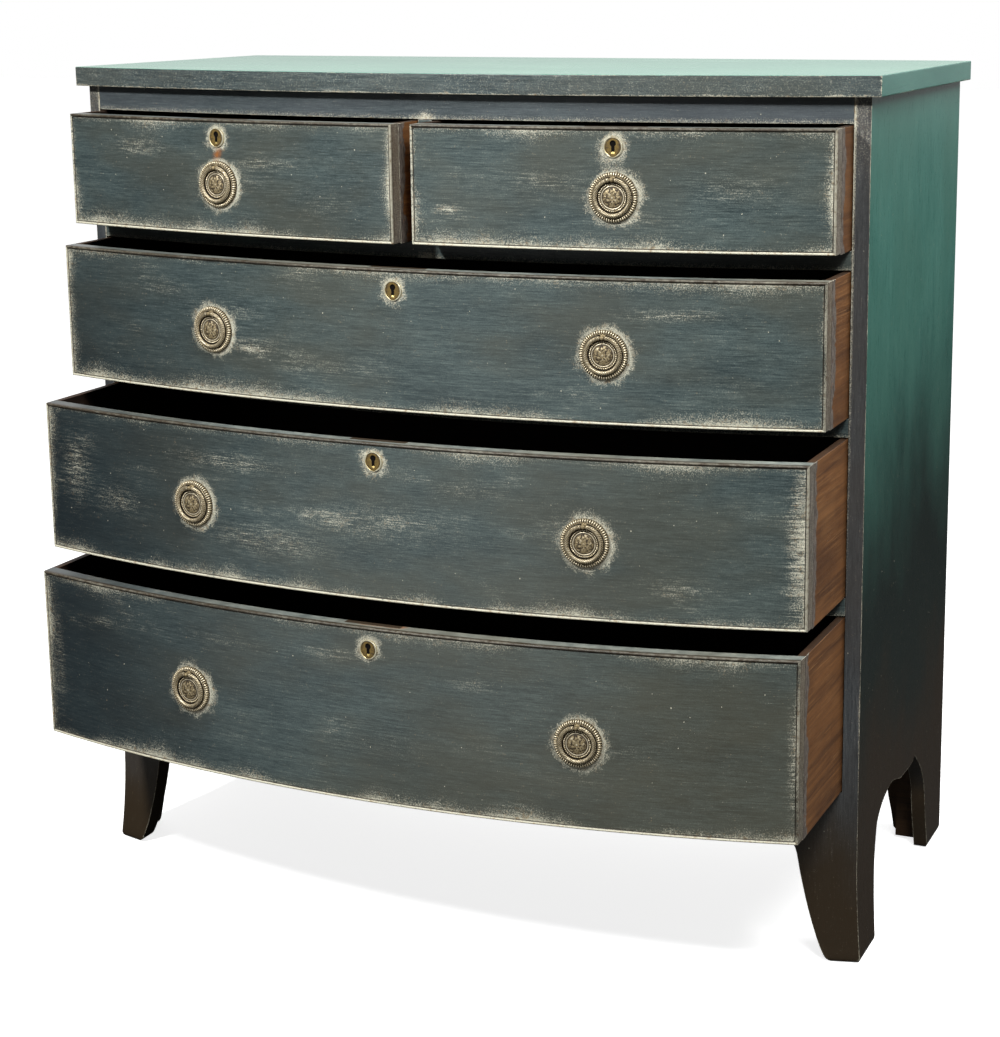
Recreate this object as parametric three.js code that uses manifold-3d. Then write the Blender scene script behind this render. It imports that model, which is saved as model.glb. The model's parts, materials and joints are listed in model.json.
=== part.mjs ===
// Bow front chest of drawers: two short drawers over three long ones, on splayed bracket feet.
// Millimetres, +Z up. The front faces -Y, and the drawers stand pulled out, the lower ones further.
import * as THREE from 'three';
import { mergeVertices } from 'three/addons/utils/BufferGeometryUtils.js';
import Module from 'manifold-3d';

const wasm = await Module();
wasm.setup();

// Fits that the whole piece shares
const seat_gap = 0.3; // between pieces that are fixed or rest on each other
const bow_gap = 0.6; // the same, between bowed faces, whose facets differ
const overrun = 2; // how far a cutter runs past the face that it opens

// Carcase
const carcase_width = 1020; // over the two sides, at the front corners
const end_depth = 426; // from a front corner to the back
const bow_rise = 68; // how far the middle of the front stands before its corners
const side_thickness = 18;
const back_thickness = 10;
const back_rebate_width = 8; // how far the back lies into each side
const top_thickness = 24;
const top_side_overhang = 13.5;
const top_front_overhang = 12.5;
const top_edge_round = 2;
const frieze_height = 29;
const frieze_end_depth = 32; // from the front corners to the straight back edge
const rail_height = 21.5;
const rail_end_depth = 50;
const dust_board_thickness = 9;
const housing_depth = 6; // how far rails and boards are let into the sides
const housing_setback = 16; // the housings stop this far behind the front corners
const muntin_thickness = 18;
const muntin_depth = 45;
const muntin_tenon_thickness = 8;
const muntin_tenon_width = 25;
const muntin_tenon_length = 10;
const guide_height = 45;

// Base
const base_height = 210; // from the floor to the first drawer's opening
const base_thickness = 26;
const foot_width = 70; // a front foot where its splay begins
const splay_height = 135;
const splay_out = 8; // how far a front foot runs out sideways at the floor
const splay_forward = 6;
const bottom_board_thickness = 14;
const corner_block_size = 30;
const front_block_lift = 112; // from the floor to the foot of a block behind a front foot
const rear_block_lift = 4;
const rear_bracket_thickness = 20;
const rear_bracket_width = 150;

// Drawers
const short_drawer_height = 136;
const upper_drawer_height = 164;
const middle_drawer_height = 184;
const lower_drawer_height = 210;
const drawer_gap = 1.75; // over and under a drawer front
const drawer_side_gap = 1.4; // between a drawer and what it runs along
const drawer_back_gap = 6; // behind a closed drawer
const front_thickness = 18;
const bead_width = 3;
const bead_stand = 1.5; // how far the cock bead stands before the drawer's face
const lining_thickness = 9; // the drawer's sides and back
const back_drop = 8; // the drawer's back ends this far below its sides
const drawer_bottom_thickness = 6;
const drawer_bottom_lift = 10; // under the drawer's bottom, to the lower edge of its sides
const groove_depth = 4;
const lap_thickness = 6; // wood left before the lapped dovetails
const tail_pitch = 46; // one dovetail to about this much height
const tail_tip_share = 0.36; // half a tail's height at its tip, to the height of one tail's place
const tail_root_share = 0.27;

// Locks
const escutcheon_radius = 11.3;
const escutcheon_height = 1.9;
const escutcheon_rim = 2.4;
const escutcheon_floor = 1.2;
const nozzle_radius = 5.5;
const keyhole_radius = 3.5;
const keyhole_slot_width = 3.6;
const keyhole_slot_length = 7;
const keyhole_depth = 14;
const keyhole_rise = 4; // the round of the keyhole over the middle of the escutcheon
const lock_width = 58;
const lock_height = 44;
const lock_thickness = 9;
const selvedge_width = 72;
const selvedge_thickness = 2;
const bolt_width = 16;
const bolt_thickness = 4;
const bolt_throw = 8;
const bolt_mark_depth = 1;

// Ring pulls
const plate_rim_width = 3.6;
const plate_rim_height = 4.4;
const plate_dish_height = 3.2;
const boss_radius = 16.4;
const boss_edge_height = 4.8;
const dome_radius = 11.4;
const dome_height = 6.6;
const ring_bar_radius = 3;
const ring_inner_gap = 0.4; // between the ring and the boss
const ring_outer_gap = 1.6; // between the ring and the plate's rim
const ring_lift = 1; // between the hanging ring and the dish of the plate
const ring_radius = boss_radius + ring_inner_gap + ring_bar_radius; // to the middle of its bar
const plate_radius = ring_radius + ring_bar_radius + ring_outer_gap + plate_rim_width;
const pivot_height = plate_dish_height + ring_lift + ring_bar_radius; // before the drawer's face
const pivot_pin_radius = 1.5;
const pivot_clearance = 0.35;
const lug_width = 5;
const lug_radius = 3.3;
const lug_side_gap = 0.4;
const shank_radius = 2.5;
const nut_radius = 6.5;
const nut_thickness = 4;

// Facets
const bow_steps = 16;
const short_bow_steps = 8;
const plate_steps = 14;
const escutcheon_steps = 12;
const ring_steps = 16;
const ring_bar_steps = 6;
const lug_steps = 5;
const bore_steps = 8;

// Outlines, as shares. Each foot outline starts at the outer corner on the floor.
// Front base, from a front corner inwards: shares of foot_width and of base_height
const front_foot_shares = [
  [0, 0], [0.5, 0], [0.56, 0.02], [0.66, 0.11], [0.79, 0.29], [0.91, 0.5], [1, 0.66],
  [1.14, 0.71], [1.36, 0.755], [1.66, 0.785], [2.1, 0.775], [2.7, 0.745], [3.4, 0.735],
];
const apron_steps = 9;
// Side, from the front backwards: shares of end_depth and of base_height
const side_foot_shares = [
  [0.153, 0], [0.163, 0.1], [0.172, 0.25], [0.184, 0.45], [0.2, 0.59], [0.2136, 0.667],
  [0.2465, 0.723], [0.2873, 0.761], [0.353, 0.792], [0.405, 0.782], [0.467, 0.745], [0.53, 0.738],
  [0.594, 0.737], [0.645, 0.764], [0.674, 0.713], [0.719, 0.634], [0.7486, 0.56], [0.777, 0.451],
  [0.806, 0.205], [0.825, 0.086], [0.845, 0], [1, 0],
];
// Rear bracket, from the side inwards: shares of rear_bracket_width and of base_height
const rear_bracket_shares = [
  [0, 0], [0.25, 0], [0.27, 0.015], [0.295, 0.125], [0.32, 0.205], [0.36, 0.38], [0.4, 0.55],
  [0.47, 0.67], [0.6, 0.755], [0.8, 0.81], [1, 0.84],
];
// Heights of the rows of facets between a foot outline and the top of the base
const base_row_shares = [0, 0.2, 0.6, 1];

// The front: an arc through both corners. faceY is the face at x, or what stands `out` before it.
const bow_half = carcase_width / 2;
const bow_radius = (bow_half ** 2 + bow_rise ** 2) / (2 * bow_rise);
const bow_centre_y = bow_radius - bow_rise;
function faceY(x, out = 0) {
  return bow_centre_y - Math.sqrt((bow_radius + out) ** 2 - x ** 2);
}
function faceAngle(x) {
  return Math.asin(x / bow_radius);
}

// Levels, from the floor up
const inner_half = carcase_width / 2 - side_thickness;
const lower_floor = base_height;
const middle_floor = lower_floor + openingHeight(lower_drawer_height) + rail_height;
const upper_floor = middle_floor + openingHeight(middle_drawer_height) + rail_height;
const short_floor = upper_floor + openingHeight(upper_drawer_height) + rail_height;
const frieze_underside = short_floor + openingHeight(short_drawer_height);
const top_underside = frieze_underside + frieze_height;
const bottom_underside = base_height - bottom_board_thickness;
const back_face_y = end_depth - back_thickness;
const boards_end_y = back_face_y - seat_gap;
function openingHeight(drawer_height) {
  return drawer_height + 2 * drawer_gap;
}

// The drawers. travel is how far each stands open; lock_drop is from its top edge to the keyhole.
const long_edge = inner_half - drawer_side_gap;
const short_edge = muntin_thickness / 2 + drawer_side_gap;
const short_middle = (long_edge + short_edge) / 2;
const short_share = 0.44; // height of a pull over the lower edge, to the height of the front
const long_share = 0.48;
const drawers = [
  {
    name: 'top_left', x0: -long_edge, x1: -short_edge, floor: short_floor, height: short_drawer_height,
    travel: 64, lock_drop: 21.5, pull_share: short_share, pulls: [-short_middle], suffixes: [''],
    steps: short_bow_steps,
  },
  {
    name: 'top_right', x0: short_edge, x1: long_edge, floor: short_floor, height: short_drawer_height,
    travel: 58, lock_drop: 21.5, pull_share: short_share, pulls: [short_middle], suffixes: [''],
    steps: short_bow_steps,
  },
  {
    name: 'upper', x0: -long_edge, x1: long_edge, floor: upper_floor, height: upper_drawer_height,
    travel: 88, lock_drop: 24.5, pull_share: long_share, pulls: [-short_middle, short_middle],
    suffixes: ['_left', '_right'], steps: bow_steps,
  },
  {
    name: 'middle', x0: -long_edge, x1: long_edge, floor: middle_floor, height: middle_drawer_height,
    travel: 145, lock_drop: 21.5, pull_share: long_share, pulls: [-short_middle, short_middle],
    suffixes: ['_left', '_right'], steps: bow_steps,
  },
  {
    name: 'lower', x0: -long_edge, x1: long_edge, floor: lower_floor, height: lower_drawer_height,
    travel: 169, lock_drop: 26, pull_share: long_share, pulls: [-short_middle, short_middle],
    suffixes: ['_left', '_right'], steps: bow_steps,
  },
];
const open_travel = drawers[drawers.length - 1].travel;

// Materials
function paint(color) {
  return new THREE.MeshStandardMaterial({ color, roughness: 0.5, metalness: 0, flatShading: true });
}
function wood(color) {
  return new THREE.MeshStandardMaterial({ color, roughness: 0.7, metalness: 0, flatShading: true });
}
function brass(color) {
  return new THREE.MeshStandardMaterial({ color, roughness: 0.4, metalness: 0.9, flatShading: true });
}
const painted_colour = 0x36454c;
const top_colour = 0x4f8a78;
const lining_colour = 0x5c4026;
const carcase_wood_colour = 0x4a3722;
const brass_colour = 0x9a7f4a;
const bronze_colour = 0x8f8062;

// Solids: closed meshes that can be joined and cut
function toSolid(geometry) {
  const bare = geometry.clone();
  bare.deleteAttribute('normal');
  bare.deleteAttribute('uv');
  const merged = mergeVertices(bare);
  return new wasm.Manifold(new wasm.Mesh({
    numProp: 3,
    vertProperties: new Float32Array(merged.attributes.position.array),
    triVerts: new Uint32Array(merged.index.array),
  }));
}
function toGeometry(solid) {
  const mesh = solid.getMesh();
  const geometry = new THREE.BufferGeometry();
  geometry.setAttribute('position', new THREE.BufferAttribute(mesh.vertProperties, mesh.numProp));
  geometry.setIndex(new THREE.BufferAttribute(mesh.triVerts, 1));
  geometry.computeVertexNormals();
  return geometry;
}
function cut(solid, ...cutters) {
  return cutters.reduce((left, cutter) => left.subtract(cutter), solid);
}
function join(solid, ...others) {
  return others.reduce((sum, other) => sum.add(other), solid);
}

// A block between two corners
function block(x0, x1, y0, y1, z0, z1) {
  const geometry = new THREE.BoxGeometry(x1 - x0, y1 - y0, z1 - z0);
  return toSolid(geometry.translate((x0 + x1) / 2, (y0 + y1) / 2, (z0 + z1) / 2));
}
// A plan of [x, y] points, raised from z0 to z1
function raised(points, z0, z1) {
  const shape = new THREE.Shape(points.map(([x, y]) => new THREE.Vector2(x, y)));
  const geometry = new THREE.ExtrudeGeometry(shape, { depth: z1 - z0, bevelEnabled: false });
  return toSolid(geometry.translate(0, 0, z0));
}
// A side view of [y, z] points, drawn out from x0 to x1
function acrossX(points, x0, x1) {
  const shape = new THREE.Shape(points.map(([y, z]) => new THREE.Vector2(y, z)));
  const geometry = new THREE.ExtrudeGeometry(shape, { depth: x1 - x0, bevelEnabled: false });
  const turn = new THREE.Matrix4().makeBasis(
    new THREE.Vector3(0, 1, 0), new THREE.Vector3(0, 0, 1), new THREE.Vector3(1, 0, 0));
  return toSolid(geometry.applyMatrix4(turn).translate(x0, 0, 0));
}
// A front view shape in x and z, drawn out from y0 to y1
function acrossY(shape, y0, y1, curveSegments) {
  const geometry = new THREE.ExtrudeGeometry(shape, {
    depth: y1 - y0, bevelEnabled: false, curveSegments,
  });
  return toSolid(geometry.rotateX(Math.PI / 2).translate(0, y1, 0));
}
// A profile of [radius, height] points, lowest first, turned round the line straight out of the front
function turned(profile, steps) {
  const points = profile.map(([radius, height]) => new THREE.Vector2(radius, height));
  return toSolid(new THREE.LatheGeometry(points, steps).rotateX(Math.PI));
}
// A round bar along that line, from one height to a greater one
function bar(radius, from, to, steps) {
  return turned([[0, from], [radius, from], [radius, to], [0, to]], steps);
}
// Points of the bow between x0 and x1
function bowPoints(x0, x1, out, steps) {
  return Array.from({ length: steps + 1 }, (unused, k) => {
    const x = x0 + ((x1 - x0) * k) / steps;
    return [x, faceY(x, out)];
  });
}
// A board bent to the bow, from `out` before the face to `inset` behind it
function bowBoard(x0, x1, out, inset, z0, z1, steps) {
  return raised([...bowPoints(x0, x1, out, steps), ...bowPoints(x1, x0, -inset, steps)], z0, z1);
}
// Moves a solid from the front's own frame, with its origin on the face, to x and z on the bow
function seatOnFace(solid, x, z) {
  const matrix = new THREE.Matrix4().makeRotationZ(faceAngle(x)).setPosition(x, faceY(x), z);
  return solid.transform(matrix.toArray());
}

// A board between a foot outline and the level top of the base. place gives the point of a face.
function footedBoard(outline, place) {
  const rows = base_row_shares.length;
  const columns = outline.length;
  const positions = [];
  for (const face of [0, 1]) {
    for (const share of base_row_shares) {
      for (const [along, foot] of outline) {
        positions.push(...place(along, foot + (base_height - foot) * share, face));
      }
    }
  }
  const at = (face, row, column) => (face * rows + row) * columns + column;
  const index = [];
  const quad = (a, b, c, d) => index.push(a, b, c, a, c, d);
  for (let row = 0; row < rows - 1; row++) {
    for (let k = 0; k < columns - 1; k++) {
      quad(at(0, row, k), at(0, row, k + 1), at(0, row + 1, k + 1), at(0, row + 1, k));
      quad(at(1, row, k), at(1, row + 1, k), at(1, row + 1, k + 1), at(1, row, k + 1));
    }
    quad(at(0, row, 0), at(0, row + 1, 0), at(1, row + 1, 0), at(1, row, 0));
    const last = columns - 1;
    quad(at(0, row, last), at(1, row, last), at(1, row + 1, last), at(0, row + 1, last));
  }
  for (let k = 0; k < columns - 1; k++) {
    quad(at(0, 0, k), at(1, 0, k), at(1, 0, k + 1), at(0, 0, k + 1));
    quad(at(0, rows - 1, k), at(0, rows - 1, k + 1), at(1, rows - 1, k + 1), at(1, rows - 1, k));
  }
  const geometry = new THREE.BufferGeometry();
  geometry.setAttribute('position', new THREE.Float32BufferAttribute(positions, 3));
  geometry.setIndex(index);
  return toSolid(geometry);
}
// How far the splay of the front feet has run at height z, from 0 to 1
function splayAt(z) {
  return Math.max(0, 1 - z / splay_height) ** 2;
}

// Top
function topBoard() {
  const edge = carcase_width / 2 + top_side_overhang;
  const outline = [
    ...bowPoints(-edge, edge, top_front_overhang, bow_steps), [edge, end_depth], [-edge, end_depth],
  ];
  const shape = new THREE.Shape(outline.map(([x, y]) => new THREE.Vector2(x, y)));
  const geometry = new THREE.ExtrudeGeometry(shape, {
    depth: top_thickness - seat_gap - 2 * top_edge_round,
    bevelThickness: top_edge_round,
    bevelSize: top_edge_round,
    bevelOffset: -top_edge_round,
    bevelSegments: 2,
  });
  return toSolid(geometry.translate(0, 0, top_underside + seat_gap + top_edge_round));
}

// Plan of a rail: bowed in front, straight behind, with ends that go into the sides
function railPlan(end_y) {
  const shoulder = inner_half - seat_gap;
  const end = inner_half + housing_depth;
  return [
    ...bowPoints(-shoulder, shoulder, 0, bow_steps),
    [shoulder, housing_setback], [end, housing_setback], [end, end_y],
    [-end, end_y], [-end, housing_setback], [-shoulder, housing_setback],
  ];
}
// The room that a housed board leaves in the right side, from y0 to y1 and z0 to z1
function housing(y0, y1, z0, z1) {
  return block(
    inner_half - overrun, inner_half + housing_depth + seat_gap,
    y0 - seat_gap, y1 + seat_gap, z0 - seat_gap, z1 + seat_gap);
}
// Mortise over a drawer that its lock's bolt goes up into
function boltMortise(drawer) {
  const x = (drawer.x0 + drawer.x1) / 2;
  const underside = drawer.floor + openingHeight(drawer.height);
  const half_width = bolt_width / 2 + drawer_side_gap;
  const middle_y = front_thickness - lock_thickness / 2;
  const half_depth = bolt_thickness / 2 + drawer_side_gap;
  const solid = block(
    -half_width, half_width, middle_y - half_depth, middle_y + half_depth, -overrun, bolt_throw);
  return seatOnFace(solid, x, underside);
}
function muntinTenon(z0, z1, gap) {
  const middle_y = faceY(0) + muntin_depth / 2;
  const half_x = muntin_tenon_thickness / 2 + gap;
  const half_y = muntin_tenon_width / 2 + gap;
  return block(-half_x, half_x, middle_y - half_y, middle_y + half_y, z0 - gap, z1 + gap);
}

function friezeRail() {
  const rail = raised(railPlan(frieze_end_depth), frieze_underside, top_underside);
  const mortise = muntinTenon(frieze_underside, frieze_underside + muntin_tenon_length, seat_gap);
  return cut(rail, mortise, boltMortise(drawers[0]), boltMortise(drawers[1]));
}
// Bowed rail with the dust board behind it
function divider(floor, drawer_below) {
  const rail = raised(railPlan(rail_end_depth), floor - rail_height, floor);
  const end = inner_half + housing_depth;
  const board = block(
    -end, end, rail_end_depth - overrun, boards_end_y, floor - dust_board_thickness, floor);
  return cut(join(rail, board), boltMortise(drawer_below));
}
function upperDivider() {
  const mortise = muntinTenon(short_floor - muntin_tenon_length, short_floor, seat_gap);
  return cut(divider(short_floor, drawers[2]), mortise);
}
function topMuntin() {
  const half = muntin_thickness / 2;
  const front = bowPoints(-half, half, 0, 2);
  const back_y = faceY(0) + muntin_depth;
  const z0 = short_floor + seat_gap;
  const z1 = frieze_underside - seat_gap;
  const post = raised([...front, [half, back_y], [-half, back_y]], z0, z1);
  const tenons = muntinTenon(
    short_floor - muntin_tenon_length, frieze_underside + muntin_tenon_length, 0);
  return join(post, tenons);
}
function topDrawerGuide() {
  const half = muntin_thickness / 2;
  const z0 = short_floor + seat_gap;
  return block(
    -half, half, faceY(0) + muntin_depth + seat_gap, boards_end_y, z0, z0 + guide_height);
}

// Right side: a straight board over the base, and a footed one below it that the front base covers
function rightSide() {
  const outer = carcase_width / 2;
  const plan = [
    [inner_half, faceY(inner_half)], [outer, faceY(outer)], [outer, end_depth], [inner_half, end_depth],
  ];
  const panel = raised(plan, base_height, top_underside);
  const outline = [[0, 0], ...side_foot_shares.map(([y, z]) => [y * end_depth, z * base_height])];
  const lower = footedBoard(outline, (along, z, face) => {
    const x = face === 0 ? outer : inner_half;
    const y = along === 0 ? faceY(x, -base_thickness - seat_gap) : along;
    const splay = along < end_depth / 2 ? splayAt(z) : 0;
    return [x + splay_out * splay, y - splay_forward * splay, z];
  });
  const back_rebate = block(
    inner_half - overrun, inner_half + back_rebate_width + seat_gap,
    back_face_y - seat_gap, end_depth + overrun, bottom_underside - seat_gap, top_underside + overrun);
  const housings = [short_floor, upper_floor, middle_floor].flatMap((floor) => [
    housing(housing_setback, rail_end_depth, floor - rail_height, floor),
    housing(housing_setback, back_face_y, floor - dust_board_thickness, floor),
  ]);
  housings.push(housing(housing_setback, frieze_end_depth, frieze_underside, top_underside + overrun));
  housings.push(housing(bottomHousingY(), back_face_y, bottom_underside, base_height));
  return cut(join(panel, lower), back_rebate, ...housings);
}
function bottomHousingY() {
  return base_thickness + housing_setback;
}

// Back: upright boards, shown by the grooves between them
const back_board_count = 5;
const back_groove_width = 3;
const back_groove_depth = 2;
function backPanel() {
  const half = inner_half + back_rebate_width;
  const grooves = [];
  for (let k = 1; k < back_board_count; k++) {
    const x = half - (2 * half * k) / back_board_count;
    grooves.push([x + back_groove_width / 2, end_depth]);
    grooves.push([x, end_depth - back_groove_depth]);
    grooves.push([x - back_groove_width / 2, end_depth]);
  }
  const plan = [[-half, back_face_y], [half, back_face_y], [half, end_depth], ...grooves, [-half, end_depth]];
  return raised(plan, bottom_underside, top_underside);
}

// Bottom of the carcase, with a glue block under each corner
function bottomBoard() {
  const shoulder = inner_half - seat_gap;
  const end = inner_half + housing_depth;
  const setback = bottomHousingY();
  const plan = [
    ...bowPoints(-shoulder, shoulder, -base_thickness - bow_gap, bow_steps),
    [shoulder, setback], [end, setback], [end, boards_end_y],
    [-end, boards_end_y], [-end, setback], [-shoulder, setback],
  ];
  const board = raised(plan, bottom_underside, base_height);
  const front_y = faceY(shoulder, -base_thickness) + seat_gap;
  const rear_y = end_depth - rear_bracket_thickness - seat_gap - corner_block_size;
  const blocks = [];
  for (const x0 of [-shoulder, shoulder - corner_block_size]) {
    for (const [y0, lift] of [[front_y, front_block_lift], [rear_y, rear_block_lift]]) {
      blocks.push(block(
        x0, x0 + corner_block_size, y0, y0 + corner_block_size, lift, bottom_underside + overrun));
    }
  }
  return join(board, ...blocks);
}
function rearBracket() {
  const side = inner_half - seat_gap;
  const outline = rear_bracket_shares.map(([across, up]) => new THREE.Vector2(
    side - across * rear_bracket_width, up * base_height));
  outline.push(new THREE.Vector2(side - rear_bracket_width, bottom_underside - seat_gap));
  outline.push(new THREE.Vector2(side, bottom_underside - seat_gap));
  const shape = new THREE.Shape(outline);
  return acrossY(shape, end_depth - rear_bracket_thickness, end_depth);
}
// Front of the base: a bowed apron that runs down into the two splayed feet
function baseFront() {
  const outer = carcase_width / 2;
  const right = front_foot_shares.map(([across, up]) => [outer - across * foot_width, up * base_height]);
  const [apron_x, apron_z] = right[right.length - 1];
  const apron = Array.from({ length: apron_steps - 1 }, (unused, k) => [
    apron_x - (2 * apron_x * (k + 1)) / apron_steps, apron_z,
  ]);
  const left = right.map(([x, z]) => [-x, z]).reverse();
  const outline = [...right, ...apron, ...left].reverse();
  return footedBoard(outline, (x, z, face) => {
    const foot = Math.abs(x) > apron_x ? splayAt(z) : 0;
    const y = faceY(x, face === 0 ? 0 : -base_thickness) - splay_forward * foot;
    return [x + Math.sign(x) * splay_out * foot, y, z];
  });
}

// The tails of one corner, as seen from the side: tips at tip_y, and roots past root_y
function tails(x0, x1, tip_y, root_y, z0, z1, gap) {
  const count = Math.max(2, Math.round((z1 - z0) / tail_pitch));
  const place = (z1 - z0) / count;
  const parts = [];
  for (let k = 0; k < count; k++) {
    const middle = z0 + place * (k + 1 / 2);
    const tip = place * tail_tip_share + gap;
    const root = place * tail_root_share + gap;
    const end_y = tip_y + Math.sign(tip_y - root_y) * gap;
    const points = [[end_y, middle - tip], [root_y, middle - root], [root_y, middle + root], [end_y, middle + tip]];
    parts.push(acrossX(tip_y < root_y ? points : points.reverse(), x0, x1));
  }
  return join(...parts);
}
// Where a drawer's pieces meet, worked out once for all of them
function drawerPlaces(drawer) {
  const z0 = drawer.floor + drawer_gap;
  const bottom_z = drawer.floor + seat_gap + drawer_bottom_lift;
  return {
    z0,
    z1: z0 + drawer.height,
    side_z0: drawer.floor + seat_gap,
    bottom_z,
    back_z0: bottom_z + drawer_bottom_thickness + seat_gap,
    back_z1: z0 + drawer.height - back_drop,
    rear_y: back_face_y - drawer_back_gap,
    middle: (drawer.x0 + drawer.x1) / 2,
  };
}
// The tails at the front and the rear of the side whose outer face is at `edge`; way points inwards
function frontTails(drawer, edge, way, gap) {
  const places = drawerPlaces(drawer);
  const inner = edge + way * (lining_thickness + gap);
  const outer = edge - way * gap;
  const root_y = faceY(edge, -front_thickness) + overrun;
  return tails(
    Math.min(inner, outer), Math.max(inner, outer), faceY(edge) + lap_thickness, root_y,
    places.z0, places.z1, gap);
}
function rearTails(drawer, edge, way, gap) {
  const places = drawerPlaces(drawer);
  const inner = edge + way * (lining_thickness + gap);
  const outer = edge - way * gap;
  return tails(
    Math.min(inner, outer), Math.max(inner, outer), places.rear_y, places.rear_y - lining_thickness - overrun,
    places.back_z0, places.back_z1, gap);
}

function drawerFront(drawer) {
  const { x0, x1, steps } = drawer;
  const places = drawerPlaces(drawer);
  const board = bowBoard(x0, x1, bead_stand, front_thickness, places.z0, places.z1, steps);
  const face = bowBoard(
    x0 + bead_width, x1 - bead_width, bead_stand + overrun, 0,
    places.z0 + bead_width, places.z1 - bead_width, steps);
  const groove = bowBoard(
    x0 + lining_thickness, x1 - lining_thickness, groove_depth - front_thickness,
    front_thickness + overrun, places.bottom_z - seat_gap, places.back_z0, steps);
  const bores = drawer.pulls.map((x) => seatOnFace(
    bar(shank_radius + seat_gap, -front_thickness - overrun, overrun, bore_steps), x, pullZ(drawer)));
  return cut(
    board, face, groove, frontTails(drawer, x0, 1, seat_gap), frontTails(drawer, x1, -1, seat_gap),
    ...bores, seatOnFace(lockRecess(drawer), places.middle, lockZ(drawer)));
}
function drawerSide(drawer, edge, way) {
  const places = drawerPlaces(drawer);
  const inner = edge + way * lining_thickness;
  const x0 = Math.min(edge, inner);
  const x1 = Math.max(edge, inner);
  const front_y = faceY(edge) + lap_thickness;
  const blank = block(x0, x1, front_y, places.rear_y, places.side_z0, places.z1);
  const front_room = bowBoard(
    drawer.x0 - overrun, drawer.x1 + overrun, overrun, front_thickness + seat_gap,
    places.side_z0 - overrun, places.z1 + overrun, drawer.steps);
  const back_room = block(
    x0 - overrun, x1 + overrun, places.rear_y - lining_thickness - seat_gap, places.rear_y + overrun,
    places.back_z0 - seat_gap, places.back_z1 + seat_gap);
  const groove_x0 = way > 0 ? inner - groove_depth : inner - overrun;
  const groove = block(
    groove_x0, groove_x0 + groove_depth + overrun, front_y - overrun, places.rear_y + overrun,
    places.bottom_z - seat_gap, places.back_z0);
  const body = join(
    cut(blank, front_room, back_room), frontTails(drawer, edge, way, 0), rearTails(drawer, edge, way, 0));
  return cut(body, groove);
}
function drawerBack(drawer) {
  const places = drawerPlaces(drawer);
  const board = block(
    drawer.x0, drawer.x1, places.rear_y - lining_thickness, places.rear_y, places.back_z0, places.back_z1);
  return cut(board, rearTails(drawer, drawer.x0, 1, seat_gap), rearTails(drawer, drawer.x1, -1, seat_gap));
}
function drawerBottom(drawer) {
  const places = drawerPlaces(drawer);
  const in_front = lining_thickness + seat_gap;
  const in_sides = lining_thickness - groove_depth + seat_gap;
  const behind = -front_thickness - bow_gap;
  const lip = bowPoints(
    drawer.x0 + in_front, drawer.x1 - in_front, groove_depth + behind, drawer.steps);
  const left = drawer.x0 + in_sides;
  const right = drawer.x1 - in_sides;
  const plan = [
    ...lip, [drawer.x1 - in_front, faceY(drawer.x1 - in_front, behind)], [right, faceY(right, behind)],
    [right, places.rear_y], [left, places.rear_y], [left, faceY(left, behind)],
    [drawer.x0 + in_front, faceY(drawer.x0 + in_front, behind)],
  ];
  return raised(plan, places.bottom_z, places.bottom_z + drawer_bottom_thickness);
}

// Lock, in its own frame: its origin is the middle of the escutcheon, on the drawer's face
function lockZ(drawer) {
  return drawerPlaces(drawer).z1 - drawer.lock_drop;
}
function lockRecess(drawer) {
  const half = lock_width / 2 + seat_gap;
  const half_selvedge = selvedge_width / 2 + seat_gap;
  const case_y = front_thickness - lock_thickness - seat_gap;
  const far_y = front_thickness + overrun;
  const top_z = drawer.lock_drop;
  const case_room = block(-half, half, case_y, far_y, top_z - lock_height - seat_gap, top_z + overrun);
  const selvedge_room = block(
    -half_selvedge, half_selvedge, case_y, far_y, top_z - selvedge_thickness - seat_gap, top_z + overrun);
  return join(case_room, selvedge_room, bar(nozzle_radius + seat_gap, -front_thickness, overrun, bore_steps));
}
function keyhole() {
  const shape = new THREE.Shape();
  const half = keyhole_slot_width / 2;
  const meet = Math.asin(half / keyhole_radius);
  shape.absarc(0, keyhole_rise, keyhole_radius, -Math.PI / 2 + meet, 3 * Math.PI / 2 - meet, false);
  shape.lineTo(-half, -keyhole_slot_length);
  shape.lineTo(half, -keyhole_slot_length);
  return acrossY(shape, -overrun - escutcheon_height, keyhole_depth, bore_steps);
}
function lock(drawer) {
  const inner_radius = escutcheon_radius - escutcheon_rim;
  const escutcheon = turned([
    [0, seat_gap], [escutcheon_radius, seat_gap], [escutcheon_radius, escutcheon_floor],
    [escutcheon_radius - escutcheon_rim / 3, escutcheon_height], [inner_radius, escutcheon_height],
    [inner_radius - escutcheon_rim / 4, escutcheon_floor], [0, escutcheon_floor],
  ], escutcheon_steps);
  const case_y = front_thickness - lock_thickness;
  const nozzle = bar(nozzle_radius, -case_y - lock_thickness / 2, escutcheon_floor / 2, bore_steps);
  const top_z = drawer.lock_drop;
  const half = lock_width / 2;
  const half_selvedge = selvedge_width / 2;
  const lock_case = block(-half, half, case_y, front_thickness, top_z - lock_height, top_z);
  const selvedge = block(
    -half_selvedge, half_selvedge, case_y, front_thickness, top_z - selvedge_thickness, top_z);
  const middle_y = front_thickness - lock_thickness / 2;
  const bolt_mark = block(
    -bolt_width / 2, bolt_width / 2, middle_y - bolt_thickness / 2, middle_y + bolt_thickness / 2,
    top_z - bolt_mark_depth, top_z + overrun);
  return cut(join(escutcheon, nozzle, lock_case, selvedge), keyhole(), bolt_mark);
}

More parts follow.
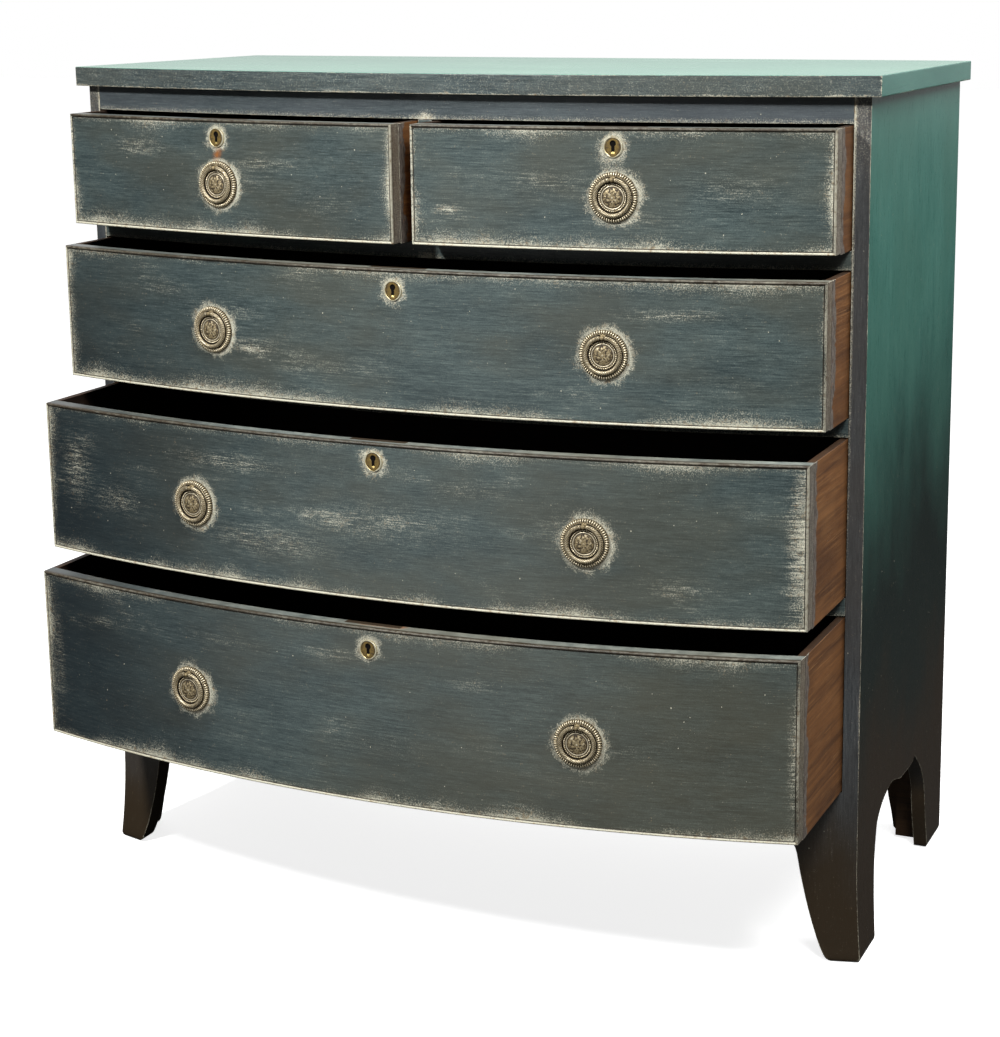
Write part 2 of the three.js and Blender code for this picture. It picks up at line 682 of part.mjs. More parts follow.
// Ring pull, in its own frame: its origin is the middle of the plate, on the drawer's face
function pullZ(drawer) {
  return drawerPlaces(drawer).z0 + drawer.height * drawer.pull_share;
}
function pullPlate() {
  const rim_inner = plate_radius - plate_rim_width;
  const plate = turned([
    [0, seat_gap], [plate_radius, seat_gap], [plate_radius, plate_rim_height / 2],
    [plate_radius - plate_rim_width / 3, plate_rim_height], [rim_inner, plate_rim_height],
    [rim_inner, plate_dish_height], [boss_radius, plate_dish_height],
    [boss_radius - (boss_edge_height - plate_dish_height) / 3, boss_edge_height],
    [dome_radius, boss_edge_height], [0, dome_height],
  ], plate_steps);
  const lug_shape = new THREE.Shape();
  lug_shape.moveTo(plate_dish_height / 2, ring_radius - lug_radius);
  lug_shape.lineTo(pivot_height, ring_radius - lug_radius);
  lug_shape.absarc(pivot_height, ring_radius, lug_radius, -Math.PI / 2, Math.PI / 2, false);
  lug_shape.lineTo(plate_dish_height / 2, ring_radius + lug_radius);
  const lug_points = lug_shape.getPoints(lug_steps).map((point) => [-point.x, point.y]).reverse();
  const lug = acrossX(lug_points, -lug_width / 2, lug_width / 2);
  const bore = pivotBar(pivot_pin_radius + pivot_clearance, lug_width + 2 * overrun)
    .translate([0, -pivot_height, ring_radius]);
  const shank = bar(shank_radius, -front_thickness - nut_thickness, plate_dish_height / 2, bore_steps);
  const nut = bar(nut_radius, -front_thickness - seat_gap - nut_thickness, -front_thickness - seat_gap, 6);
  return cut(join(plate, lug, shank, nut), bore);
}
// A round bar along x, round the pivot
function pivotBar(radius, length) {
  return toSolid(new THREE.CylinderGeometry(radius, radius, length, bore_steps).rotateZ(Math.PI / 2));
}
// The ring hangs from its pivot pin, which runs through the lug; its origin is on the pivot
function pullRing() {
  const torus = new THREE.TorusGeometry(ring_radius, ring_bar_radius, ring_bar_steps, ring_steps);
  const ring = toSolid(torus.rotateX(Math.PI / 2).translate(0, 0, -ring_radius));
  const half_gap = lug_width / 2 + lug_side_gap;
  const gap = block(
    -half_gap, half_gap, -ring_bar_radius - overrun, ring_bar_radius + overrun,
    -ring_bar_radius - overrun, ring_bar_radius + overrun);
  return join(cut(ring, gap), pivotBar(pivot_pin_radius, 2 * (half_gap + ring_bar_radius / 2)));
}

// Assembly
const chest = new THREE.Group();
// The origin lies on the floor, under the middle of the chest as it stands with its drawers open
chest.position.y = (bow_rise + open_travel - end_depth) / 2;

function addMesh(parent, name, solid, material) {
  const mesh = new THREE.Mesh(toGeometry(solid), material);
  mesh.name = name;
  parent.add(mesh);
  return mesh;
}
const mirror_x = [-1, 1, 1];

const right_side = rightSide();
const rear_bracket = rearBracket();
addMesh(chest, 'top_board', topBoard(), paint(top_colour));
addMesh(chest, 'side_panel_right', right_side, paint(top_colour));
addMesh(chest, 'side_panel_left', right_side.scale(mirror_x), paint(top_colour));
addMesh(chest, 'back_panel', backPanel(), wood(carcase_wood_colour));
addMesh(chest, 'frieze_rail', friezeRail(), paint(painted_colour));
addMesh(chest, 'top_muntin', topMuntin(), paint(painted_colour));
addMesh(chest, 'top_drawer_guide', topDrawerGuide(), wood(carcase_wood_colour));
addMesh(chest, 'divider_upper', upperDivider(), paint(painted_colour));
addMesh(chest, 'divider_middle', divider(upper_floor, drawers[3]), paint(painted_colour));
addMesh(chest, 'divider_lower', divider(middle_floor, drawers[4]), paint(painted_colour));
addMesh(chest, 'bottom_board', bottomBoard(), wood(carcase_wood_colour));
addMesh(chest, 'base_front', baseFront(), paint(painted_colour));
addMesh(chest, 'rear_bracket_right', rear_bracket, wood(carcase_wood_colour));
addMesh(chest, 'rear_bracket_left', rear_bracket.scale(mirror_x), wood(carcase_wood_colour));

const plate = pullPlate();
const ring = pullRing();
for (const drawer of drawers) {
  const body = new THREE.Group();
  body.position.y = -drawer.travel;
  chest.add(body);
  const label = `${drawer.name}_drawer`;
  addMesh(body, `${label}_front`, drawerFront(drawer), paint(painted_colour));
  addMesh(body, `${label}_side_left`, drawerSide(drawer, drawer.x0, 1), wood(lining_colour));
  addMesh(body, `${label}_side_right`, drawerSide(drawer, drawer.x1, -1), wood(lining_colour));
  addMesh(body, `${label}_back`, drawerBack(drawer), wood(lining_colour));
  addMesh(body, `${label}_bottom`, drawerBottom(drawer), wood(lining_colour));

  const { middle } = drawerPlaces(drawer);
  const fitting = addMesh(body, `${drawer.name}_lock`, lock(drawer), brass(brass_colour));
  fitting.position.set(middle, faceY(middle), lockZ(drawer));
  fitting.rotation.z = faceAngle(middle);

  drawer.pulls.forEach((x, k) => {
    const seat = new THREE.Group();
    seat.position.set(x, faceY(x), pullZ(drawer));
    seat.rotation.z = faceAngle(x);
    body.add(seat);
    addMesh(seat, `${drawer.name}_pull_plate${drawer.suffixes[k]}`, plate, brass(bronze_colour));
    const hung = addMesh(seat, `${drawer.name}_pull_ring${drawer.suffixes[k]}`, ring, brass(bronze_colour));
    hung.position.set(0, -pivot_height, ring_radius);
  });
}

export default chest;
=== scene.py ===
import json
import math
from functools import partialmethod

import bpy
import numpy as np
from mathutils import Matrix, Vector, noise


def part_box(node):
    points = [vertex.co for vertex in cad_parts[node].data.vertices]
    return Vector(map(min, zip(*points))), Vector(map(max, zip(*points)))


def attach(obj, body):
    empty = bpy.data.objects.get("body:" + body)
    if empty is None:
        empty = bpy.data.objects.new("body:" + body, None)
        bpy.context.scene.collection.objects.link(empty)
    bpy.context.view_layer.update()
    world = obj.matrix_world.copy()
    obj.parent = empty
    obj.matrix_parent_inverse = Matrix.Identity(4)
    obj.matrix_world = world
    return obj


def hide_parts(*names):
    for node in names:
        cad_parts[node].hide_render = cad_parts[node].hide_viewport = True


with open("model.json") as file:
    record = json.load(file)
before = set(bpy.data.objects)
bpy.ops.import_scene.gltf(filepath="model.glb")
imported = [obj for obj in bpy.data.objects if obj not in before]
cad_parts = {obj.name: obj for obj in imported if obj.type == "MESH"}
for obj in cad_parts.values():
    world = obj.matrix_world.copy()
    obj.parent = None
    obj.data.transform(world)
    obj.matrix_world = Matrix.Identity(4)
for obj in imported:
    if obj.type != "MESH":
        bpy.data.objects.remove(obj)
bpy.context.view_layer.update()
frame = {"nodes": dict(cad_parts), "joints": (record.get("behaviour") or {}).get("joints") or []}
MM = 0.001
FAR = 99.0  # mm from any arris or brass, where nothing is worn
HAIR = 0.0003  # left between boards that meet

# ---- the chest's own sizes, in metres
WIDTH = 1.020  # over the side panels
DEPTH = 0.426  # from the front corners to the back
BOW = 0.068  # how far the middle stands before the corners
SIDE = 0.018  # the side panels' thickness
RADIUS = ((WIDTH / 2) ** 2 + BOW ** 2) / (2 * BOW)
CENTRE_Y = RADIUS - BOW
SHIFT_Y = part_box("back_panel")[1].y - DEPTH  # where the front corners stand in the frame
INNER = WIDTH / 2 - SIDE
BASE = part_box("base_front")[1].z
BASE_THICKNESS = 0.026
FRONT_THICKNESS = 0.018
LINING = 0.009  # the drawer sides' thickness
BEAD, BEAD_STAND = 0.003, 0.0015  # the cock bead's width, and how far it stands out
QUIRK = 0.0009  # the groove beside the bead
FACE = 0.0005  # what lies less deep than this is on a board's front face
TRAVEL = {j["child"]: -j["range_m"][0] for j in frame["joints"] if j["type"] == "slide"}


def bow_y(x, out=0.0):
    return CENTRE_Y - math.sqrt((RADIUS + out) ** 2 - x * x) + SHIFT_Y


def bow_angle(x):
    return math.asin(x / RADIUS)


def add_object(name, data):
    made = bpy.data.objects.new(name, data)
    bpy.context.scene.collection.objects.link(made)
    return made


def smooth(edge0, edge1, x):
    t = min(1.0, max(0.0, (x - edge0) / (edge1 - edge0)))
    return t * t * (3 - 2 * t)


# ---- camera
YAW, PITCH, ROLL = 0.3950, 0.2008, -0.0067
EYE = (1.1142, -2.2518 + SHIFT_Y, 1.1348)
LENS, SENSOR = 73.14, 36
FRAME_SHIFT = (-0.0868, -0.1027)  # only as large as the photograph's framing needs
cam_data = bpy.data.cameras.new("camera")
cam = add_object("camera", cam_data)
ahead = Vector((-math.sin(YAW) * math.cos(PITCH), math.cos(YAW) * math.cos(PITCH), -math.sin(PITCH)))
right = Vector((math.cos(YAW), math.sin(YAW), 0))
up = right.cross(ahead)
across = right * math.cos(ROLL) + up * math.sin(ROLL)
upward = up * math.cos(ROLL) - right * math.sin(ROLL)
turn = Matrix((across, upward, -ahead)).transposed().to_4x4()
cam.matrix_world = Matrix.Translation(EYE) @ turn
cam_data.sensor_width = SENSOR
cam_data.sensor_fit = "AUTO"
cam_data.lens = LENS
cam_data.shift_x, cam_data.shift_y = FRAME_SHIFT
cam_data.clip_end = 60
bpy.context.scene.camera = cam


# ---- node helpers
class Nodes:
    """A short way to write the nodes of a material or of the world."""

    def __init__(self, owner, space="Object"):
        owner.use_nodes = True
        self.owner = owner
        self.tree = owner.node_tree
        self.shader = self.tree.nodes.get("Principled BSDF")
        self.coord = self.node("TexCoord").outputs[space]

    def node(self, kind, inputs=None, **values):
        """A node with its settings, and a number or a link for each input that is given."""
        made = self.tree.nodes.new("ShaderNode" + kind)
        for key, value in values.items():
            setattr(made, key, value)
        for key, value in (inputs or {}).items():
            self.put(value, made.inputs[key])
        return made

    def put(self, value, socket):
        if isinstance(value, bpy.types.NodeSocket):
            self.tree.links.new(value, socket)
        else:
            socket.default_value = value

    def math(self, operation, a, b=0.0, clamp=False):
        return self.node("Math", {0: a, 1: b}, operation=operation, use_clamp=clamp).outputs[0]

    plus = partialmethod(math, "ADD")
    minus = partialmethod(math, "SUBTRACT")
    times = partialmethod(math, "MULTIPLY")
    over = partialmethod(math, "DIVIDE")

    def centred(self, value, scale):
        """A noise that wanders round 0 instead of a half."""
        return self.times(self.minus(value, 0.5), scale)

    def scaled(self, scale, offset=(0, 0, 0)):
        inputs = {"Vector": self.coord, "Scale": scale, "Location": offset}
        return self.node("Mapping", inputs).outputs["Vector"]

    def noise(self, scale, detail=3.0, rough=0.55, distortion=0.0, offset=(0, 0, 0)):
        inputs = {"Vector": self.scaled(scale, offset), "Scale": 1.0, "Detail": detail, "Roughness": rough,
                  "Distortion": distortion}
        return self.node("TexNoise", inputs).outputs["Fac"]

    def step(self, value, low, high, to_low=0.0, to_high=1.0):
        """A smooth rise from low to high."""
        return self.span(value, low, high, to_low, to_high, "SMOOTHSTEP")

    def span(self, value, low, high, to_low, to_high, kind="LINEAR"):
        inputs = {"Value": value, "From Min": low, "From Max": high, "To Min": to_low, "To Max": to_high}
        return self.node("MapRange", inputs, interpolation_type=kind).outputs["Result"]

    def ramp(self, value, low, high, most):
        """A smooth rise from low to high, up to most."""
        return self.times(self.step(value, low, high), most)

    def mix(self, factor, a, b):
        return self.node("Mix", {0: factor, 6: a, 7: b}, data_type="RGBA").outputs[2]

    def most(self, *masks):
        result = masks[0]
        for other in masks[1:]:
            result = self.math("MAXIMUM", result, other)
        return result

    def attribute(self, name):
        return self.node("Attribute", attribute_name=name).outputs["Fac"]

    def axis(self, name):
        return self.node("SeparateXYZ", {0: self.coord}).outputs[name]

    def camera_ray(self):
        return self.node("LightPath").outputs["Is Camera Ray"]

    def finish(self, colour, rough, height=None, strength=0.3, distance=0.001, specular=0.5, metallic=0.0):
        self.put(colour, self.shader.inputs["Base Color"])
        self.put(rough, self.shader.inputs["Roughness"])
        self.put(metallic, self.shader.inputs["Metallic"])
        self.shader.inputs["Specular IOR Level"].default_value = specular
        if height is not None:
            bump = self.node("Bump", {"Strength": strength, "Distance": distance, "Height": height})
            self.put(bump.outputs["Normal"], self.shader.inputs["Normal"])
        return self.owner


def rgb(r, g, b):
    """A colour given as it looks on a screen, 0 to 255."""
    def linear(v):
        v /= 255
        return v / 12.92 if v <= 0.04045 else ((v + 0.055) / 1.055) ** 2.4
    return (linear(r), linear(g), linear(b), 1.0)


CREAM = rgb(212, 208, 186)
TAN = rgb(150, 126, 92)
RAW_WOOD = rgb(92, 62, 36)
STAIN = rgb(158, 92, 30)
BEAD_BROWN = rgb(50, 39, 26)
QUIRK_DIRT_AND_SHADE = rgb(34, 25, 17)
# painted shade: the dark blue laid in low on the left of the drawer fronts
PAINTED_SHADE_BLUE = rgb(18, 28, 34)
WARM = rgb(88, 80, 60)
WOOD_ROUGH, WOOD_SHINE = 0.6, 0.35


def worn_paint(name, tones, ways, wear=1.0, dry=1.0, quirk=False, rough=0.34, fades=(), bump=0.3, shine=0.5):
    """Thin brushed paint over a cream ground. ways names the axes that the brush ran along.

    Attributes say where it is worn. edge is the distance to the nearest arris in mm, and halo that to a
    brass. feather is how thin the paint is, dry_patch how far the brush ran dry, and stain how rusty it
    went. bead is how bare the bead is, and below 0 it is brown. The last attribute is painted shade and
    yellowing: how far the colour leans to a dark blue painted shade, or below 0 to a warm olive. fades darken
    it down the board, on the side panel partly as painted shade: each is a height where it is full, one where
    it starts, and a colour.
    """
    dark, light, olive = tones
    n = Nodes(bpy.data.materials.new(name))

    def brushed(along, across, detail, offset):
        return n.noise([along if axis in ways else across for axis in "xyz"], detail, 0.6, 0.0, offset)

    strokes = brushed(26.0, 640.0, 4, (0, 0, 0))
    lines = brushed(85.0, 1300.0, 3, (4.0, 1.0, 2.0))
    cloud = brushed(7.0, 22.0, 4, (2.2, 8.4, 3.7))
    hue = brushed(4.5, 9.0, 3, (9.1, 6.2, 1.4))
    chips = n.noise([190.0] * 3, 4, 0.7)
    grit = n.noise([760.0] * 3, 2, 0.7)
    edge, halo, feather, dry_patch, rust, bead, shade_lean = (
        n.attribute(key) for key in ("edge", "halo", "feather", "dry_patch", "stain", "bead", "cast"))
    fine = n.plus(n.times(strokes, 0.5), n.times(lines, 0.5))
    # the paint itself drifts from slate to brown-grey, a little lighter where the brush dragged
    tone = n.plus(n.plus(fine, n.centred(cloud, 0.35)), n.centred(grit, 0.4))
    body = n.mix(n.step(tone, 0.26, 0.78), dark, light)
    body = n.mix(n.ramp(hue, 0.38, 0.66, 0.55), body, olive)
    # painted shade: low on the left of the fronts the colour is pulled to a dark blue; below 0 it yellows to
    # a warm olive
    cast = n.plus(shade_lean, n.times(n.centred(hue, 0.8), n.math("ABSOLUTE", shade_lean)))
    body = n.mix(n.times(cast, 0.85, clamp=True), body, PAINTED_SHADE_BLUE)
    body = n.mix(n.times(cast, -0.6, clamp=True), body, WARM)
    drift = n.plus(n.axis("Z"), n.centred(hue, 0.3))
    for full, start, shade in fades:
        body = n.mix(n.ramp(drift, start, full, 0.96), body, shade)
    # dry brushing, in patches, along the edges and round the brasses
    thin = n.math("MINIMUM", n.plus(n.ramp(cloud, 0.52, 0.8, 0.4 * dry), dry_patch), 1.15)
    bristle = n.plus(n.plus(0.5, n.centred(fine, 1.3)), n.centred(grit, 0.9))
    dry_mask = n.step(n.plus(bristle, n.times(thin, 0.30)), 0.56, 0.98)
    dry_mask = n.times(dry_mask, n.ramp(thin, 0.0, 0.5, 0.9))
    stipple = n.plus(n.centred(grit, 2.4), n.centred(fine, 0.7))
    feather_mask = n.step(n.plus(n.times(feather, 0.95), stipple), 0.2, 1.1)
    feather_mask = n.times(feather_mask, n.ramp(feather, 0.0, 0.25, 0.8))
    # worn through on the arrises, the bead and right round the brasses
    width = n.times(n.span(cloud, 0.35, 0.7, 0.4, 2.0), wear)
    near = n.minus(1.0, n.over(edge, width))
    near = n.plus(near, n.plus(n.centred(chips, 1.6), n.centred(bristle, 1.6)))
    edge_mask = n.ramp(near, 0.35, 1.1, 0.75)
    patchy = n.noise([70.0] * 3, 3, 0.6, 0.0, (5.0, 3.0, 8.0))
    rim = n.minus(1.0, n.over(halo, n.span(patchy, 0.35, 0.65, 4.0, 13.0)))
    rim_mask = n.ramp(n.plus(rim, n.centred(grit, 3.0)), 0.1, 1.25, 0.75)
    worn_bead = n.plus(bead, n.plus(n.centred(chips, 1.3), n.centred(bristle, 1.2)))
    bead_mask = n.ramp(worn_bead, 0.3, 0.85, 0.85)
    flecks = {"Vector": n.scaled((80.0, 80.0, 64.0), (0.3, 0.7, 0.1)), "Scale": 1.0}
    flecks = n.node("TexVoronoi", flecks, feature="F1").outputs["Distance"]
    fleck_mask = n.ramp(n.plus(flecks, n.span(chips, 0.35, 0.65, -0.03, 0.04)), 0.05, 0.02, 0.7)
    ground = n.most(dry_mask, feather_mask, edge_mask, rim_mask, bead_mask, fleck_mask)
    colour = n.mix(ground, body, n.mix(n.step(chips, 0.5, 0.72), CREAM, TAN))
    # bare wood where an arris took the knocks
    bare = n.ramp(n.minus(chips, n.times(edge, 0.13)), 0.54, 0.62, 0.6 * min(1.0, wear))
    colour = n.mix(bare, colour, RAW_WOOD)
    brown = n.times(n.step(bead, -0.1, -0.6), n.span(chips, 0.3, 0.6, 0.6, 0.95))
    colour = n.mix(brown, colour, BEAD_BROWN)
    # the dark line in the quirk: dirt in the groove and painted shade
    if quirk:
        away = n.math("ABSOLUTE", n.minus(edge, (BEAD + QUIRK / 2) / MM))
        line = n.minus(1.0, n.over(away, QUIRK / MM), clamp=True)
        colour = n.mix(n.ramp(line, 0.0, 0.6, 0.85), colour, QUIRK_DIRT_AND_SHADE)
    stain = n.times(rust, n.span(chips, 0.35, 0.55, 0.35, 1.0))
    colour = n.mix(n.math("MINIMUM", stain, 0.9), colour, STAIN)
    height = n.minus(fine, n.times(ground, 0.4))
    roughness = n.plus(n.span(fine, 0.35, 0.65, rough - 0.04, rough + 0.06), n.times(ground, 0.25))
    return n.finish(colour, roughness, height, bump, 0.0004, shine)


def wood(name, tones, along, paint=None):
    """Old bare wood, its grain along one axis.

    paint = (dark, light, width) covers the front end, to a ragged line about width mm back. The attribute
    depth is the distance from the front's face in mm.
    """
    dark, base, light = tones
    n = Nodes(bpy.data.materials.new(name))

    def grained(across, lengthways, detail, rough, distortion=0.0):
        scale = [across] * 3
        scale[along] = lengthways
        return n.noise(scale, detail, rough, distortion)

    warp = n.noise([6.0] * 3, 3, 0.5)
    rings = grained(110.0, 3.0, 6, 0.62, 0.9)
    fibres = grained(700.0, 14.0, 3, 0.6)
    pores = grained(1400.0, 60.0, 2, 0.5)
    stain = n.noise([4.0, 4.0, 7.0], 4, 0.6, 0.2, (1.0, 5.0, 2.0))
    colour = n.mix(n.step(rings, 0.2, 0.66), dark, base)
    colour = n.mix(n.ramp(fibres, 0.5, 0.75, 0.5), colour, light)
    colour = n.mix(n.ramp(pores, 0.6, 0.72, 0.55), colour, dark)
    colour = n.mix(n.ramp(stain, 0.46, 0.7, 0.6), colour, dark)
    colour = n.mix(n.ramp(warp, 0.55, 0.8, 0.3), colour, light)
    height = n.plus(n.times(rings, 0.4), n.times(fibres, 0.6))
    if paint is not None:
        dark_paint, light_paint, width = paint
        reach = n.span(n.noise([30.0] * 3, 4, 0.6), 0.3, 0.7, width - 7.0, width + 9.0)
        chips = n.noise([160.0] * 3, 4, 0.7)
        mask = n.step(n.minus(reach, n.attribute("depth")), -1.2, 1.2)
        mask = n.times(mask, n.step(chips, 0.3, 0.4))
        worn = n.ramp(n.minus(n.times(chips, 3.6), n.attribute("edge")), 1.0, 1.7, 0.8)
        tint = n.mix(n.step(n.noise([700.0, 700.0, 150.0], 4, 0.7), 0.3, 0.7), dark_paint, light_paint)
        colour = n.mix(mask, colour, n.mix(worn, tint, CREAM))
        height = n.plus(height, n.times(mask, 0.8))
    roughness = n.span(fibres, 0.3, 0.7, WOOD_ROUGH - 0.06, WOOD_ROUGH + 0.1)
    return n.finish(colour, roughness, height, 0.3, 0.0005, WOOD_SHINE)


def brass(name, bright, base, deep, rough, mottle):
    """Old cast brass, bright on the ridges and brown in the hollows.

    The attribute hollow is 0 on a ridge and 1 deep down. Below 0 the brass is caked with cream paint.
    """
    n = Nodes(bpy.data.materials.new(name))
    hollow = n.attribute("hollow")
    tarnish = n.noise([300.0] * 3, 4, 0.65)
    fine = n.noise([1500.0] * 3, 3, 0.6)
    grime = n.plus(hollow, n.centred(tarnish, mottle), clamp=True)
    colour = n.mix(n.step(grime, 0.02, 0.4), bright, base)
    colour = n.mix(n.step(grime, 0.35, 0.9), colour, deep)
    colour = n.mix(n.ramp(fine, 0.52, 0.72, 0.3), colour, deep)
    caked = n.ramp(n.minus(n.times(tarnish, 0.6), hollow), 0.45, 0.7, 0.9)
    colour = n.mix(caked, colour, CREAM)
    roughness = n.span(grime, 0.0, 1.0, rough, rough + 0.35)
    metallic = n.span(grime, 0.2, 0.8, 0.7, 0.2)
    return n.finish(colour, roughness, n.plus(fine, tarnish), 0.12, 0.0003, 0.5, metallic)


# three tones each: dark, light and the one it drifts to
SLATE = (rgb(40, 51, 53), rgb(86, 99, 97), rgb(70, 70, 60))
DEEP_SLATE = (rgb(44, 48, 51), rgb(90, 94, 96), rgb(74, 70, 66))
FRIEZE_SLATE = (rgb(47, 55, 58), rgb(90, 99, 101), rgb(77, 81, 85))
# a lighter slate for the fronts' top faces: partly painted light from above
LIT_PALE_SLATE = (rgb(88, 98, 98), rgb(156, 162, 154), rgb(118, 112, 94))
WORN_SLATE = (rgb(34, 31, 31), rgb(136, 128, 120), rgb(104, 86, 66))
EDGE_SLATE = (rgb(38, 47, 50), rgb(86, 98, 98), rgb(70, 73, 67))
TEAL = (rgb(52, 104, 94), rgb(84, 134, 122), rgb(66, 110, 98))
# the teal made lighter for the top's upper face: partly painted light from above
LIT_TOP_TEAL = (rgb(78, 140, 118), rgb(136, 184, 162), rgb(100, 154, 136))
# fades: where one is full, where it starts, and its colour
# painted shade: the side panel's teal darkens downwards, then goes a dark brown nearer the floor
SIDE_PAINTED_SHADE = (0.40, 0.80, rgb(12, 19, 18))
SIDE_LOW_BROWN = (0.14, 0.36, rgb(44, 33, 20))
FOOT_BROWN = (0.06, 0.24, rgb(58, 46, 30))
paint_front = worn_paint("paint_front", SLATE, "xy", quirk=True)
paint_plain = worn_paint("paint_plain", SLATE, "xy", wear=0.5, dry=0.6)
paint_frieze = worn_paint("paint_frieze", FRIEZE_SLATE, "xy", wear=0.5, dry=0.3)
paint_upright = worn_paint("paint_upright", SLATE, "z", wear=0.9, dry=0.8)
paint_base = worn_paint("paint_base", DEEP_SLATE, "z", wear=1.1, dry=0.5, fades=(FOOT_BROWN,))
paint_end = worn_paint("paint_end", WORN_SLATE, "z", wear=0.9, dry=1.2)
paint_bead = worn_paint("paint_bead", LIT_PALE_SLATE, "xy", wear=1.0, dry=1.0)
paint_top_edge = worn_paint("paint_top_edge", EDGE_SLATE, "xy", wear=3.2, dry=1.0)
paint_top = worn_paint("paint_top", LIT_TOP_TEAL, "x", wear=0.5, dry=0.2, rough=0.2, bump=0.05, shine=0.4)
paint_end_top = worn_paint("paint_end_top", TEAL, "y", wear=1.4, dry=0.5)
paint_side = worn_paint("paint_side", TEAL, "z", wear=0.5, dry=0.1, rough=0.3, fades=(SIDE_PAINTED_SHADE, SIDE_LOW_BROWN), bump=0.15,
                        shine=0.3)
OAK = (rgb(66, 39, 19), rgb(122, 80, 42), rgb(168, 122, 74))
# oak darkened to near black for the inside faces of the carcase and drawers: painted shade
SHADED_OAK = (rgb(22, 14, 9), rgb(38, 25, 16), rgb(54, 38, 25))
PINE = (rgb(52, 37, 23), rgb(78, 56, 35), rgb(100, 75, 48))
side_outside = wood("side_outside", OAK, 1, paint=(rgb(52, 46, 42), rgb(132, 122, 112), 29.0))
side_edge_wood = wood("side_edge_wood", (rgb(40, 26, 15), rgb(66, 45, 28), rgb(90, 65, 42)), 1)
side_inside = wood("side_inside", SHADED_OAK, 1)
inside_along = wood("inside_along", SHADED_OAK, 0)
carcase_inside = wood("carcase_inside", SHADED_OAK, 1)
pine_across = wood("pine_across", PINE, 0)
pine_upright = wood("pine_upright", PINE, 2)
pull_metal = brass("pull_metal", rgb(226, 216, 190), rgb(152, 136, 102), rgb(46, 36, 22), 0.38, 0.9)
lock_metal = brass("lock_metal", rgb(190, 168, 104), rgb(122, 101, 52), rgb(46, 34, 18), 0.42, 1.1)
dark_metal = brass("dark_metal", rgb(96, 78, 54), rgb(70, 56, 40), rgb(30, 23, 15), 0.5, 0.7)
# near black for the keyhole's bottom: painted shade
hole = Nodes(bpy.data.materials.new("keyhole_painted_shade"))
keyhole_painted_shade = hole.finish(hole.mix(hole.noise([900.0] * 3), rgb(6, 5, 4), rgb(16, 13, 10)), 0.9, specular=0.1)


# ---- mesh helpers
def build(name, verts, faces, materials, face_materials=None, attributes=None, angle=40):
    mesh = bpy.data.meshes.new(name)
    mesh.from_pydata([tuple(v) for v in verts], [], faces)
    for material in materials:
        mesh.materials.append(material)
    if face_materials is not None:
        mesh.polygons.foreach_set("material_index", np.array(face_materials, np.int32))
    for key, values in (attributes or {}).items():
        layer = mesh.attributes.new(key, "FLOAT", "POINT")
        layer.data.foreach_set("value", np.array(values, np.float32))
    mesh.shade_smooth()
    mesh.set_sharp_from_angle(angle=math.radians(angle))
    mesh.validate()
    mesh.update()
    return add_object(name, mesh)


def dress(piece, body, slot, *nodes):
    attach(piece, body)
    if nodes:
        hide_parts(*nodes)


NEAR = (0.0003, 0.0008, 0.0016, 0.003, 0.006, 0.012)


def stops(length, spacing, near=NEAR):
    """Places from 0 to length, closer together near both ends."""
    ends = [0.0] + [v for v in near if v < length * 0.45]
    inner = length - 2 * ends[-1]
    count = max(1, round(inner / spacing))
    middle = [ends[-1] + inner * k / count for k in range(1, count)]
    return ends + middle + [length - v for v in reversed(ends)]


SIDES = ("left", "right", "front", "back", "bottom", "top")


def lattice(name, xs, ts, zs, radius, place, materials, relief=None, extra=None):
    """A six-sided board with rounded arrises. x runs along it, t from front to back and z up, all from 0.

    place(x, t, z) moves a point to where it belongs, and relief(x, z) raises the front face. materials gives
    each side's material by name, with "" for the rest, and extra each attribute as a function of x, t, z.
    """
    size = (xs[-1], ts[-1], zs[-1])
    counts = (len(xs), len(ts), len(zs))
    index, faces, sides = {}, [], []  # index numbers the points in the order that the faces name them
    for axis in range(3):
        a, b = [v for v in range(3) if v != axis]
        for end in (0, 1):
            fixed = end * (counts[axis] - 1)
            for m in range(counts[a] - 1):
                for n in range(counts[b] - 1):
                    corner = []
                    for da, db in ((0, 0), (1, 0), (1, 1), (0, 1)):
                        spot = [0, 0, 0]
                        spot[axis], spot[a], spot[b] = fixed, m + da, n + db
                        corner.append(index.setdefault(tuple(spot), len(index)))
                    flip = (end == 0) != (axis == 1)
                    faces.append(corner[::-1] if flip else corner)
                    sides.append(axis * 2 + end)
    verts, edge, values = [], [], {key: [] for key in (extra or {})}
    for i, j, k in index:
        p = [xs[i], ts[j], zs[k]]
        away = sorted(min(v, s - v) for v, s in zip(p, size))
        edge.append(away[1] / MM)
        q = [min(max(v, radius), s - radius) for v, s in zip(p, size)]
        d = Vector([v - w for v, w in zip(p, q)])
        if d.length > 1e-9:
            d = d.normalized() * radius
        moved = [w + v for w, v in zip(q, d)]
        if relief is not None and j == 0:
            moved[1] -= relief(p[0], p[2])
        verts.append(place(*moved))
        for key in values:
            values[key].append(extra[key](*p))
    names = list(dict.fromkeys(materials.get(s, materials[""]) for s in SIDES))
    chosen = [names.index(materials.get(SIDES[s], materials[""])) for s in sides]
    return build(name, verts, faces, names, chosen, {"edge": edge, "halo": [FAR] * len(verts), **values})


def box_board(name, low, high, radius, materials, spacing, extra=None):
    """A straight board between two corners."""
    xs, ts, zs = (stops(b - a, spacing) for a, b in zip(low, high))
    return lattice(name, xs, ts, zs, radius, lambda x, t, z: (low[0] + x, low[1] + t, low[2] + z),
                   materials, None, extra)


